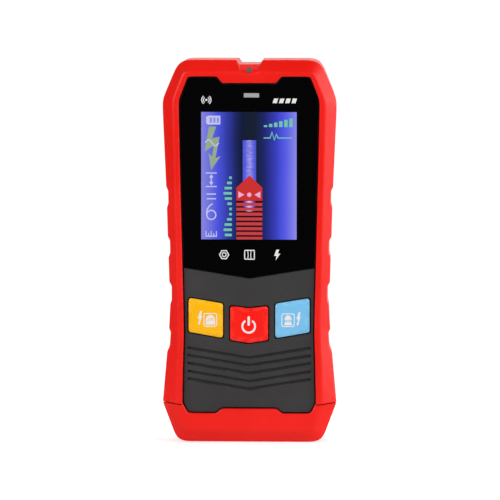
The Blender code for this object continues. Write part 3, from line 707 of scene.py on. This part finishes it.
bumper = obj_from("bottom_bumper", swept(resample(round_path(low_half), 4.0)), [M_RED], smooth=38.0)
wear_and_highlight(bumper, shell_wear_and_highlight)
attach(bumper, HOUSING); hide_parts("lower_bumper")


# grey mark moulded into the top notch
def notch_y(z):
    return -14.0 + (z - 142.45) * (4.0 / 2.95) if z > 142.45 else -14.0


mark_pts = rounded([(-1.32, 142.3), (1.32, 142.3), (0.62, 144.1), (-0.62, 144.1)], 0.42, 5)
mark = obj_from(
    "notch_mark",
    loft([
        [(x, notch_y(z) + 0.5, z) for x, z in mark_pts],
        [(x, notch_y(z) - 0.02, z) for x, z in mark_pts],
        [(x, notch_y(z) - 0.07, z) for x, z in offset(mark_pts, -0.06)],
        [(x, notch_y(z) - 0.08, z) for x, z in offset(mark_pts, -0.16)],
    ]),
    [M_MARK],
)
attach(mark, HOUSING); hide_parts("centre_mark")

# ------------------------------------------------------------------ grey front panel
KEYS = {
    "left_key": ([(-23.25, 55.6), (-10.05, 53.4), (-10.05, 40.15), (-23.25, 42.45)], M_YELLOW, "key_yellow"),
    "power_key": ([(-7.3, 52.5), (0.0, 51.6), (7.3, 52.5), (7.3, 39.4), (0.0, 38.2), (-7.3, 39.4)], M_KEYRED, "key_red"),
    "right_key": ([(10.05, 53.4), (23.25, 55.6), (23.25, 42.45), (10.05, 40.15)], M_BLUE, "key_blue"),
}
GROOVES = [36.3, 33.4, 30.4, 27.25, 24.35]
EDGE, POINT = 67.3, 63.2
ACTIVE = (-18.40, 18.22, 78.05, 126.97)
INDICATOR = (0.9, 133.4, 2.95, 0.82)


def chevron(lift, up):
    far = 220.0 if up else -60.0
    return [(-60, EDGE + lift), (-25.4, EDGE + lift), (0, POINT + lift), (25.4, EDGE + lift), (60, EDGE + lift), (60, far), (-60, far)]


OPEN = outline("opening")
panel = obj_from("front_face", prism(offset(OPEN, -0.5), Y_PANEL, -11.0), [M_PANEL])
cut(panel, prism(chevron(-0.28, True), -30, 30))
plate = obj_from("plate", prism(offset(OPEN, 1.3), *Y_PLATE), [M_PANEL])
cut(plate, prism(chevron(-0.28, False), -30, -11.2), "DIFFERENCE")
cut(plate, box(-22.9, 22.9, -20, 0, 69.3, 131.4))
cut(plate, box(INDICATOR[0] - 3.3, INDICATOR[0] + 3.3, -20, 0, INDICATOR[1] - 1.1, INDICATOR[1] + 1.1))
for name, (pts, _, _) in KEYS.items():
    hole = rounded(offset(pts, 0.45), 1.4, 6)
    cut(panel, prism(hole, -20, 0))
    cut(plate, prism(hole, -20, 0))
for end in GROOVES:
    low = end - 3.85
    h = 0.6
    pts = [(-23.7, end + h), (-23.7, end - h), (0, low - h), (23.7, end - h), (23.7, end + h), (0, low + h)]
    inner = [(-23.7, end + 0.52), (-23.7, end - 0.34), (0, low - 0.34), (23.7, end - 0.34), (23.7, end + 0.52), (0, low + 0.52)]
    cut(panel, loft([[(x, -13.2, z) for x, z in pts], [(x, Y_PANEL + 0.02, z) for x, z in pts], [(x, Y_PANEL + 0.95, z) for x, z in inner]]))
bevel(panel, 0.13, 3, angle=24.0)


def groove_highlight(co):
    """Painted highlight: the lower edge of each groove, coloured lighter where the light catches it."""
    x, y, z = co
    if not Y_PANEL + 0.01 < y < Y_PANEL + 0.25 or abs(x) > 23.9:
        return 0.0
    return 1.0 if any(abs(z - (end - 0.6 - (1.0 - abs(x) / 23.7) * 3.85)) < 0.28 for end in GROOVES) else 0.0


wear_and_highlight(panel, groove_highlight)
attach(panel, HOUSING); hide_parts("front_panel")
bevel(plate, 0.06, 1)
plate.name = "front_plate"
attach(plate, HOUSING)

# ------------------------------------------------------------------ window, picture and its marks
lens_outline = offset(OPEN, -0.5)
lens = obj_from("window", prism(lens_outline, -12.85, -11.75), [M_LENS])
cut(lens, prism(chevron(0.05, False), -30, 30))
cut(lens, box(ACTIVE[0], ACTIVE[1], -20, 0, ACTIVE[2], ACTIVE[3]))
ix, iz, ia, ib = INDICATOR
ind_pts = rounded([(ix - ia, iz - ib), (ix + ia, iz - ib), (ix + ia, iz + ib), (ix - ia, iz + ib)], 0.2, 4)
cut(lens, prism(ind_pts, -20, 0))
bevel(lens, 0.16, 3, angle=40.0)
# Painted highlight: the window's bevel is coloured lighter grey along its outline.
wear_and_highlight(lens, lambda co: 1.0 if -12.848 < co[1] < -12.70 else 0.0)
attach(lens, HOUSING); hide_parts("display_window")

pane = obj_from("window_clear", box(ACTIVE[0] - 0.02, ACTIVE[1] + 0.02, -12.80, -11.75, ACTIVE[2] - 0.02, ACTIVE[3] + 0.02), [M_GLASS], smooth=20.0)
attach(pane, HOUSING)

pipe = obj_from("indicator_window", layered(offset(ind_pts, -0.01), [(-10.0, 0.0), (-12.80, 0.0), (-12.84, 0.05)]), [M_LIGHT])
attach(pipe, HOUSING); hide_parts("indicator_lens")

picture = obj_from("display_picture", box(-18.9, 18.9, -11.40, -11.34, 77.2, 127.6), [M_SCREEN], smooth=20.0)
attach(picture, HOUSING)


def stroke(pts, width, closed=False):
    """The outline of a line of the given width."""
    left, right = [], []
    n = len(pts)
    for i in range(n):
        a = Vector(pts[i - 1] if (i or closed) else pts[0])
        b = Vector(pts[i])
        c = Vector(pts[(i + 1) % n] if (closed or i + 1 < n) else pts[-1])
        d1 = (b - a).normalized() if (b - a).length > 1e-9 else (c - b).normalized()
        d2 = (c - b).normalized() if (c - b).length > 1e-9 else d1
        d = (d1 + d2).normalized()
        k = 1.0 / max(0.5, d.dot(d1))
        nrm = Vector((-d.y, d.x)) * (width / 2 * k)
        left.append(tuple(b + nrm))
        right.append(tuple(b - nrm))
    return left, right


def slab(shapes, y_back, y_front):
    """One mesh of flat marks. Each shape is an outline, or a (left, right, closed) ribbon."""
    bm = bmesh.new()
    for shape in shapes:
        if isinstance(shape, dict):
            left, right, closed = shape["left"], shape["right"], shape["closed"]
            n = len(left)
            rows = [[bm.verts.new((x, y, z)) for x, z in side] for side in (left, right) for y in (y_back, y_front)]
            lb, lf, rb, rf = rows
            for i in range(n if closed else n - 1):
                j = (i + 1) % n
                bm.faces.new((lf[i], lf[j], rf[j], rf[i]))
                bm.faces.new((lb[i], rb[i], rb[j], lb[j]))
                bm.faces.new((lf[i], lb[i], lb[j], lf[j]))
                bm.faces.new((rf[i], rf[j], rb[j], rb[i]))
            if not closed:
                bm.faces.new((lf[0], rf[0], rb[0], lb[0]))
                bm.faces.new((lf[-1], lb[-1], rb[-1], rf[-1]))
        else:
            back = [bm.verts.new((x, y_back, z)) for x, z in shape]
            front = [bm.verts.new((x, y_front, z)) for x, z in shape]
            bm.faces.new(back)
            bm.faces.new(front)
            for i in range(len(shape)):
                j = (i + 1) % len(shape)
                bm.faces.new((back[i], back[j], front[j], front[i]))
    bmesh.ops.recalc_face_normals(bm, faces=bm.faces)
    return bm


def ribbon(pts, width, closed=False):
    left, right = stroke(pts, width, closed)
    return {"left": left, "right": right, "closed": closed}


def arc(x, z, r, a0, a1, n=24):
    return [(x + r * math.cos(math.radians(a0 + (a1 - a0) * i / n)), z + r * math.sin(math.radians(a0 + (a1 - a0) * i / n))) for i in range(n + 1)]


def rect(x0, x1, z0, z1, r=0.0):
    pts = [(x0, z0), (x1, z0), (x1, z1), (x0, z1)]
    return rounded(pts, r, 3) if r else pts


def marks(name, shapes, mat, y_back, y_front, body=HOUSING):
    obj = obj_from(name, slab(shapes, y_back, y_front), [mat], smooth=20.0)
    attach(obj, body)
    return obj


def segment_digit(x, z, w, h, which, t):
    """A seven-segment style digit out of separate bars."""
    bars = {
        "a": rect(x + t, x + w - t, z + h - t, z + h), "g": rect(x + t, x + w - t, z + h / 2 - t / 2, z + h / 2 + t / 2),
        "d": rect(x + t, x + w - t, z, z + t), "f": rect(x, x + t, z + h / 2 + t * 0.6, z + h - t * 0.4),
        "b": rect(x + w - t, x + w, z + h / 2 + t * 0.6, z + h - t * 0.4), "e": rect(x, x + t, z + t * 0.4, z + h / 2 - t * 0.6),
        "c": rect(x + w - t, x + w, z + t * 0.4, z + h / 2 - t * 0.6),
    }
    on = {"6": "acdefg", "5": "acdfg", "0": "abcdef", "1": "bc", "2": "abdeg", "3": "abcdg"}[which]
    return [bars[k] for k in on]


Y1, Y2, Y3 = -11.40, -11.44, -11.48
battery_icon = rounded([(-16.6, 125.0), (-15.9, 125.5), (-11.1, 125.5), (-11.1, 122.1), (-15.9, 122.1), (-16.6, 122.7)], 0.35, 3)
marks("lit_battery", [battery_icon], LIT["pale"], Y1, Y2)
marks("lit_battery_cells", [rect(-15.2 + 1.35 * i, -14.3 + 1.35 * i, 122.8, 124.8) for i in range(3)], LIT["violet"], Y2, Y3)
bolt = [(-15.5, 121.3), (-12.7, 121.3), (-14.3, 116.8), (-11.4, 117.4), (-13.0, 109.2), (-11.0, 110.0), (-14.7, 104.6), (-15.6, 111.1), (-14.3, 109.9), (-13.7, 113.9), (-17.2, 111.7)]
marks("lit_bolt", [bolt], LIT["olive"], Y1, Y2)
wave_pts = [(-16.9 + 5.2 * i / 24, 115.1 + 1.15 * math.sin(2 * math.pi * i / 24)) for i in range(25)]
marks("lit_wave", [ribbon(wave_pts, 0.42)], LIT["pale"], Y2, Y3)
depth_marks = [ribbon([(-16.7, 103.5), (-12.5, 103.5)], 0.42), ribbon([(-16.7, 98.3), (-12.5, 98.3)], 0.42)]
depth_marks += [ribbon([(-14.6, 99.4), (-14.6, 102.4)], 0.42)]
depth_marks += [[(-15.4, 101.7), (-14.6, 103.1), (-13.8, 101.7)], [(-15.4, 100.1), (-13.8, 100.1), (-14.6, 98.7)]]
depth_marks += [ribbon([(-16.4, 95.4), (-12.8, 95.4)], 0.46), ribbon([(-16.4, 93.6), (-12.8, 93.6)], 0.46)]
marks("lit_depth_arrow", depth_marks, LIT["pale"], Y1, Y2)
six_pts = arc(-14.6, 87.4, 1.75, 0, 360, 30)[:-1]
marks("lit_digit", [ribbon(six_pts, 0.48, True), ribbon([(-16.3, 87.6)] + arc(-12.6, 88.2, 3.75, 172, 112, 10), 0.48)], LIT["pale"], Y1, Y2)
ruler = [rect(-16.8, -12.4, 79.0, 79.4)] + [rect(-16.8 + 1.0 * i, -16.45 + 1.0 * i, 79.4, 81.2 if i % 2 == 0 else 80.4) for i in range(5)]
marks("lit_ruler", ruler, LIT["pale"], Y1, Y2)
scale_bars = []
for i in range(12):
    z = 79.2 + 2.0 * i
    w = 0.9 + 2.3 * (0.5 + 0.5 * math.sin(i * 0.9 + 0.6))
    scale_bars.append(rect(-6.7 - w, -6.7, z, z + 1.0, 0.2))
marks("lit_field_bars", scale_bars, LIT["green"], Y1, Y2)
signal = []
for i in range(6):
    signal.append(rect(5.6 + 1.95 * i, 6.9 + 1.95 * i, 121.2, 121.9 + 0.52 * i, 0.15))
signal.append(ribbon([(5.5, 117.0), (8.0, 117.0), (8.7, 119.2), (9.6, 116.3), (10.4, 118.4), (11.0, 117.0), (16.4, 117.0)], 0.42))
marks("lit_signal", signal, LIT["green"], Y1, Y2)
marks("lit_column", [rect(-2.55, 2.65, 98.5, 116.1)], LIT["column"], Y1, Y2)
house = [(0.1, 102.6), (5.0, 97.9), (5.0, 92.9), (-4.95, 92.9), (-4.95, 97.9)]
marks("lit_pointer", [house], LIT["red"], -11.53, -11.56)
centred = [[(-4.2, 96.5), (-4.2, 93.9), (-1.9, 95.2)], circle(0.02, 95.2, 0.85, 20), [(4.25, 96.5), (1.95, 95.2), (4.25, 93.9)]]
marks("lit_pointer_sign", centred, LIT["pink"], -11.56, -11.59)
marks("lit_stripe_ground", [rect(-4.95, 5.0, 77.9, 92.9)], LIT["dark"], Y2, Y3)
marks("lit_stripes", [rect(-4.95, 5.0, 90.85 - 1.86 * i, 92.05 - 1.86 * i) for i in range(8)], LIT["red_soft"], Y3, -11.51)
def ellipse(x, z, rx, rz, n=28):
    return [(x + rx * math.cos(2 * math.pi * i / n), z + rz * math.sin(2 * math.pi * i / n)) for i in range(n)]


marks("lit_glow", [ellipse(0.0, 92.45, 2.6, 0.36), ellipse(0.0, 90.6, 2.45, 0.34), ellipse(0.0, 88.95, 1.5, 0.16)], LIT["glow"], -11.52, -11.54)

# generic white pictograms printed under the window: metal, wood, live wire
Yp, Yq = -12.85, -12.868
hexagon = circle(-9.6, 72.2, 1.75, 6)
icons = [ribbon(hexagon, 0.42, True), ribbon(circle(-9.6, 72.2, 0.75, 20), 0.36, True)]
icons += [ribbon(rect(-1.7, 2.0, 70.5, 73.9, 0.3), 0.4, True), ribbon([(-0.5, 70.7), (-0.35, 72.0), (-0.5, 73.7)], 0.3), ribbon([(0.75, 70.7), (0.6, 72.2), (0.75, 73.7)], 0.3)]
icons += [[(10.5, 74.2), (11.6, 74.2), (11.0, 72.7), (12.0, 72.7), (10.1, 70.0), (10.55, 71.8), (9.6, 71.8)]]
for cx in (-9.6, 0.15, 10.8):
    pass
marks("printed_icons", icons, M_WHITE, Yp, Yq)
scan = [circle(-16.4, 131.6, 0.42, 16), ribbon(arc(-16.4, 131.6, 1.1, -55, 55, 12), 0.36), ribbon(arc(-16.4, 131.6, 1.8, -55, 55, 14), 0.36),
        ribbon(arc(-16.4, 131.6, 1.1, 125, 235, 12), 0.36), ribbon(arc(-16.4, 131.6, 1.8, 125, 235, 14), 0.36)]
marks("printed_scan_sign", scan, M_WHITE, Yp, Yq)
marks("printed_dashes", [[(9.0 + 2.4 * i, 130.4), (10.6 + 2.4 * i, 130.4), (11.2 + 2.4 * i, 132.2), (9.6 + 2.4 * i, 132.2)] for i in range(4)], M_WHITE, Yp, Yq)

# ------------------------------------------------------------------ keys
TOP = -13.78
LAYERS = [(-9.5, 0.0), (-12.95, 0.0), (-13.12, 0.05), (-13.26, 0.18), (-13.55, 0.85), (-13.66, 1.12), (-13.74, 1.42), (TOP, 1.85), (TOP - 0.01, 2.6)]


# Painted highlight: the lower part of each key's bevel is coloured lighter in full, the upper part at half strength.
def key_bevel_highlight(co):
    return 1.0 if -13.35 < co[1] < -13.0 else (0.5 if -13.76 < co[1] < -13.5 else 0.0)


for name, (pts, mat, slot) in KEYS.items():
    corner = 1.15
    cap = obj_from(name + "_cap", layered_round(pts, [corner, 1.5, corner, corner, 2.5, corner] if len(pts) == 6 else corner, LAYERS), [mat], smooth=40.0)
    wear_and_highlight(cap, key_bevel_highlight)
    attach(cap, name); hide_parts(name)

YB, YF = TOP + 0.03, TOP - 0.035
bar = rounded([(-0.55, 45.0), (0.35, 45.0), (0.35, 48.6), (-0.55, 48.6)], 0.44, 5)
power = [ribbon(arc(-0.1, 44.75, 2.45, 122, 418, 40), 0.74), bar]
marks("power_sign", power, M_WHITE, YB, YF, "power_key")


def small_bolt(x, z, s=1.0):
    return [(x + 0.15 * s, z + 2.7 * s), (x + 0.95 * s, z + 2.7 * s), (x + 0.45 * s, z + 0.9 * s), (x + 0.95 * s, z + 0.9 * s),
            (x + 0.05 * s, z - 1.7 * s), (x + 0.35 * s, z - 1.6 * s), (x - 0.35 * s, z - 2.7 * s), (x - 0.75 * s, z - 1.5 * s),
            (x - 0.35 * s, z - 1.6 * s), (x - 0.15 * s, z - 0.1 * s), (x - 0.75 * s, z - 0.1 * s)]


left_icons = [small_bolt(-18.95, 47.8), ribbon(rect(-17.3, -12.4, 44.7, 49.6, 0.7), 0.36, True)]
left_icons += [[(-16.6, 45.3), (-13.1, 45.3)] + arc(-14.85, 47.3, 1.75, 0, 180, 14)]
marks("left_key_signs", left_icons, M_WHITE, YB, YF, "left_key")
marks("left_key_rings", [ribbon(arc(-14.85, 46.7, 0.55, 0, 180, 8), 0.22), ribbon(arc(-14.85, 46.7, 1.1, 0, 180, 10), 0.22)], M_YELLOW, YF, YF - 0.015, "left_key")
right_icons = [small_bolt(18.95, 47.6), ribbon(rect(12.6, 17.4, 44.7, 49.6, 0.7), 0.36, True)]
right_icons += [[(13.4, 45.2), (16.7, 45.2), (16.2, 46.4), (13.9, 46.4)], rect(13.9, 16.2, 46.65, 47.0), [(13.6, 47.25), (16.5, 47.25), (16.2, 48.2), (15.6, 49.0), (14.5, 49.0), (13.9, 48.2)]]
marks("right_key_signs", right_icons, M_WHITE, YB, YF, "right_key")

# ------------------------------------------------------------------ rear housing, door and pads
PLAIN, BANDS = outline("plain"), outline("band")


def drawn(t):
    return [(lerp(p[0], q[0], t), p[1]) for p, q in zip(PLAIN_FULL, BANDS)]


# the rear keeps a plain top edge: the notch is only in the red shell
PLAIN_FULL = [(x, 147.0 if (z > 145.0 and abs(x) < 12.0) else z) for x, z in PLAIN]


def both(t):
    return [(lerp(p[0], q[0], t), lerp(p[1], q[1], t)) for p, q in zip(PLAIN_FULL, BANDS)]


def capped(pts, top):
    return [(x, min(z, top - 0.02 * max(0.0, z - top))) for x, z in pts]


def ring(pts, y):
    return [(x, y, z) for x, z in pts]


def lowered(pts, drop):
    """The top edge set down by drop, fading out below the upper corners."""
    return [(x, z - drop * max(0.0, min(1.0, (z - 128.0) / 16.0))) for x, z in pts]


rear_rows = [
    ring(capped(both(0.84), 141.4), 11.6), ring(capped(both(0.84), 141.4), 4.0), ring(capped(both(0.60), 142.1), 4.0),
    ring(capped(both(0.60), 142.1), 6.26), ring(lowered([(lerp(a, b, 0.52), z) for (a, z), (b, _) in zip(PLAIN_FULL, BANDS)], 1.0), 6.26),
]
side = [(0.503, 6.45), (0.52, 8.6), (0.535, 10.2), (0.55, 11.1), (0.575, 11.9), (0.62, 12.6), (0.67, 13.1), (0.74, 13.42), (0.80, 13.56), (0.87, 13.6)]
for t, y in side:
    k = min(1.0, max(0.0, (y - 10.2) / 3.4))
    drop = 0.9 + 0.3 * max(0.0, min(1.0, (y - 6.55) / 4.0))
    pts = [(lerp(p[0], q[0], t), lerp(p[1], lerp(p[1], q[1], t), k)) for p, q in zip(PLAIN_FULL, BANDS)]
    rear_rows.append(ring(lowered(pts, drop), y))
rear = obj_from("rear_shell", loft(rear_rows), [M_REAR], smooth=26.0)
SCREWS = [(-24.0, 133.0), (24.0, 133.0), (-22.3, 17.5), (22.3, 17.5)]
cut(rear, box(-15.1, 15.1, -7.1, 12.5, 4.2, 64.0), "UNION")
cut(rear, box(-17.9, 17.9, 9.6, 12.5, 3.2, 66.6), "UNION")
for x, z in SCREWS:
    cut(rear, prism(circle(x, z, 4.4, 32), 9.95, 12.5), "UNION")
cut(rear, box(-13.9, 13.9, -6.0, 20.0, 5.8, 62.6))
cut(rear, prism(rounded([(-16.7, 5.1), (16.7, 5.1), (16.7, 64.7), (-16.7, 64.7)], 1.1, 5), 11.5, 20.0))
cut(rear, box(-5.0, 5.0, -2.0, 5.0, 60.0, 66.0))
top_notch = [(-4.3, 144.8), (4.3, 144.8), (7.6, 150.0), (-7.6, 150.0)]
cut(rear, prism(top_notch, 3.0, 20.0))
PADS = {
    "glide_pad_upper_left": (-20.0, -8.0, 135.8, 140.2), "glide_pad_upper_right": (8.0, 20.0, 135.8, 140.2),
    "glide_pad_lower_left": (-25.6, -21.2, 24.5, 40.5), "glide_pad_lower_right": (21.2, 25.6, 24.5, 40.5),
}
for x, z in SCREWS:
    cut(rear, prism(circle(x, z, 3.4, 40), 11.3, 20.0))
    cut(rear, prism(circle(x, z, 1.8, 24), 5.0, 12.0))
for x0, x1, z0, z1 in PADS.values():
    cut(rear, prism(rounded([(x0 - 0.3, z0 - 0.3), (x1 + 0.3, z0 - 0.3), (x1 + 0.3, z1 + 0.3), (x0 - 0.3, z1 + 0.3)], 1.6, 6), 13.05, 20.0))
bevel(rear, 0.14, 2, angle=34.0, smooth=32.0)
wear_and_highlight(rear, lambda co: 1.0 if 11.6 < co[1] < 13.55 and (abs(co[0]) > 20 or co[2] > 140 or co[2] < 6) else 0.0)
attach(rear, HOUSING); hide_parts("rear_housing")

door = obj_from("battery_cover", layered(rounded([(-16.4, 5.4), (16.4, 5.4), (16.4, 64.4), (-16.4, 64.4)], 0.9, 6), [(11.8, 0.0), (13.6, 0.0)]), [M_REAR])
for i in range(5):
    z = 52.6 + 1.9 * i
    half = 6.0 - 0.6 * i
    cut(door, prism(rounded([(-half, z - 0.45), (half, z - 0.45), (half, z + 0.45), (-half, z + 0.45)], 0.44, 5), 13.05, 20.0))
arrow = [(-1.7, 49.4), (1.7, 49.4), (0.0, 46.6)]
cut(door, prism(rounded(arrow, 0.3, 4), 13.25, 20.0))
bevel(door, 0.12, 2, angle=30.0)
wear_and_highlight(door, lambda co: 1.0 if 13.47 < co[1] < 13.592 else 0.0)
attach(door, "battery_door"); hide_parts("battery_door")

for i, (name, (x0, x1, z0, z1)) in enumerate(PADS.items()):
    shape = rounded([(x0, z0), (x1, z0), (x1, z1), (x0, z1)], 1.4, 6)
    bm = layered(shape, [(13.35, 0.0), (13.75, 0.0), (13.9, 0.06), (13.97, 0.18), (14.0, 0.4)])
    pad = obj_from(name + "_felt", bm, [M_FELT], smooth=50.0)
    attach(pad, HOUSING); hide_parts(name)

# ------------------------------------------------------------------ battery block, seen when its cover is off
can = rounded([(-13.1, -5.65), (13.1, -5.65), (13.1, 11.45), (-13.1, 11.45)], 2.1, 6)


def can_ring(z, inset):
    return [(x, y, z) for x, y in offset(can, -inset)]


M_CAN = metal("battery_rim", (0.55, 0.55, 0.56), 0.25)
M_WRAP = plastic("battery_can", (0.035, 0.045, 0.075), 0.30, vary=0.08, coat=0.4)
M_BANDC = plastic("battery_band", (0.80, 0.42, 0.05), 0.32, vary=0.05, coat=0.4)
cell = obj_from("battery_block", loft([can_ring(6.3, 0.7), can_ring(6.45, 0.25), can_ring(6.8, 0.0), can_ring(7.2, 0.0), can_ring(7.25, 0.1), can_ring(8.2, 0.1),
                                       can_ring(38.0, 0.1), can_ring(51.0, 0.1), can_ring(51.3, 0.1), can_ring(51.35, 0.0), can_ring(51.9, 0.0), can_ring(52.2, 0.25), can_ring(52.3, 0.7)]),
                [M_WRAP, M_CAN, M_BANDC], smooth=35.0)
for p in cell.data.polygons:
    z = p.center.z / MM
    p.material_index = 1 if (z < 7.21 or z > 51.32) else (2 if 38.0 < z < 51.3 else 0)
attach(cell, HOUSING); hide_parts("battery")

# ------------------------------------------------------------------ materials for the pieces that keep their CAD shape
SLOT_MATERIAL = {
    "steel": M_STEEL, "black_plastic": M_BLACK, "cream_plastic": M_CREAM, "flex_amber": M_AMBER, "board_green": M_BOARD,
    "copper": M_COPPER, "nickel": M_NICKEL, "wire_red": M_WIRE_RED, "wire_black": M_WIRE_BLACK, "display_blue": M_BLACK,
    "felt": M_FELT, "light_grey": M_LIGHT, "mark_grey": M_MARK, "shell_red": M_RED, "panel_grey": M_PANEL, "rear_grey": M_REAR,
    "window_black": M_LENS, "key_yellow": M_YELLOW, "key_red": M_KEYRED, "key_blue": M_BLUE, "battery_can": M_WRAP,
}
for entry in frame["record"]["subparts"]:
    node = frame["nodes"].get(entry["node"])
    if node is not None:
        node.data.materials.clear()
        node.data.materials.append(SLOT_MATERIAL[entry["material_slot"]])

# ------------------------------------------------------------------ stage, light and camera
M_FLOOR, nt, sh = nodes_of("floor_pale")
fine = noise_tex(nt, coords(nt), 60.0, 3.0, 0.5)
nt.links.new(mix_rgb(nt, fine, (0.73, 0.73, 0.73), (0.76, 0.76, 0.76)), sh.inputs["Base Color"])
sh.inputs["Roughness"].default_value = 0.9
sh.inputs["Specular IOR Level"].default_value = 0.1
sh.inputs["Emission Color"].default_value = (1.0, 1.0, 1.0, 1.0)
sh.inputs["Emission Strength"].default_value = 0.52
dim = nt.nodes.new("ShaderNodeBsdfDiffuse")
dim.inputs["Color"].default_value = (0.16, 0.16, 0.16, 1.0)
ray = nt.nodes.new("ShaderNodeLightPath")
both_ways = nt.nodes.new("ShaderNodeMixShader")
bounced = math_node(nt, "MAXIMUM", ray.outputs["Is Glossy Ray"], math_node(nt, "MULTIPLY", ray.outputs["Is Diffuse Ray"], 0.25))
nt.links.new(bounced, both_ways.inputs["Fac"])
nt.links.new(sh.outputs[0], both_ways.inputs[1])
nt.links.new(dim.outputs[0], both_ways.inputs[2])
nt.links.new(both_ways.outputs[0], nt.nodes["Material Output"].inputs["Surface"])
bm = bmesh.new()
bmesh.ops.create_circle(bm, cap_ends=True, segments=96, radius=450.0)
floor = obj_from("floor", bm, [M_FLOOR], smooth=0)
floor.location.z = -0.0002
floor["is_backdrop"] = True

world = bpy.data.worlds.new("studio")
bpy.context.scene.world = world
world.use_nodes = True
wn = world.node_tree
for n in list(wn.nodes):
    wn.nodes.remove(n)
out = wn.nodes.new("ShaderNodeOutputWorld")
tc = wn.nodes.new("ShaderNodeTexCoord")
toward = wn.nodes.new("ShaderNodeVectorMath")
toward.operation = "DOT_PRODUCT"
wn.links.new(tc.outputs["Generated"], toward.inputs[0])
toward.inputs[1].default_value = (0.55, 0.84, 0.0)
back = wn.nodes.new("ShaderNodeMapRange")
for key, v in (("From Min", 0.0), ("From Max", 0.55), ("To Min", 0.02), ("To Max", 0.85)):
    back.inputs[key].default_value = v
wn.links.new(toward.outputs["Value"], back.inputs["Value"])
env = wn.nodes.new("ShaderNodeBackground")
env.inputs["Color"].default_value = (1, 1, 1, 1)
wn.links.new(back.outputs["Result"], env.inputs["Strength"])
seen = wn.nodes.new("ShaderNodeBackground")
seen.inputs["Color"].default_value = (1, 1, 1, 1)
seen.inputs["Strength"].default_value = 1.05
path = wn.nodes.new("ShaderNodeLightPath")
mix = wn.nodes.new("ShaderNodeMixShader")
wn.links.new(path.outputs["Is Camera Ray"], mix.inputs["Fac"])
wn.links.new(env.outputs[0], mix.inputs[1])
wn.links.new(seen.outputs[0], mix.inputs[2])
wn.links.new(mix.outputs[0], out.inputs["Surface"])

TARGET = Vector((0.0, 0.0, 0.0735))


def area_light(name, azimuth, elevation, distance, size, power, colour=(1, 1, 1)):
    a, e = math.radians(azimuth), math.radians(elevation)
    at = TARGET + distance * Vector((math.sin(a) * math.cos(e), -math.cos(a) * math.cos(e), math.sin(e)))
    data = bpy.data.lights.new(name, "AREA")
    data.shape = "DISK"
    data.size = size
    data.energy = power
    data.color = colour
    obj = bpy.data.objects.new(name, data)
    obj.location = at
    obj.rotation_mode = "QUATERNION"
    obj.rotation_quaternion = (TARGET - at).to_track_quat("-Z", "Y")
    bpy.context.scene.collection.objects.link(obj)


area_light("left_light", -46, 27, 1.0, 0.8, 6.6)
area_light("right_light", 42, 27, 1.0, 0.8, 4.3)
area_light("side_light", 80, 14, 0.95, 0.6, 3.3)
area_light("back_light", 180, 50, 1.1, 0.8, 2.4)

AZIMUTH, ELEVATION, DISTANCE = 3.3, 3.9, 3.0
a, e = math.radians(AZIMUTH), math.radians(ELEVATION)
direction = Vector((math.sin(a) * math.cos(e), -math.cos(a) * math.cos(e), math.sin(e)))
camera_data = bpy.data.cameras.new("camera")
camera_data.sensor_width = 36.0
FRAME_WIDTH = 0.5 / 2.607     # metres across the picture at the object
camera_data.lens = 36.0 * (DISTANCE - 0.012) / FRAME_WIDTH
camera_data.shift_x, camera_data.shift_y = 0.0, 0.0
camera = bpy.data.objects.new("camera", camera_data)
aim = Vector((-0.0004, 0.0, 0.07315))
camera.location = aim + direction * DISTANCE
camera.rotation_mode = "QUATERNION"
camera.rotation_quaternion = (-direction).to_track_quat("-Z", "Y")
camera_data.clip_start, camera_data.clip_end = 0.01, 50.0
bpy.context.scene.collection.objects.link(camera)
bpy.context.scene.camera = camera
bpy.context.scene.view_settings.view_transform = "Standard"

low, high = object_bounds()
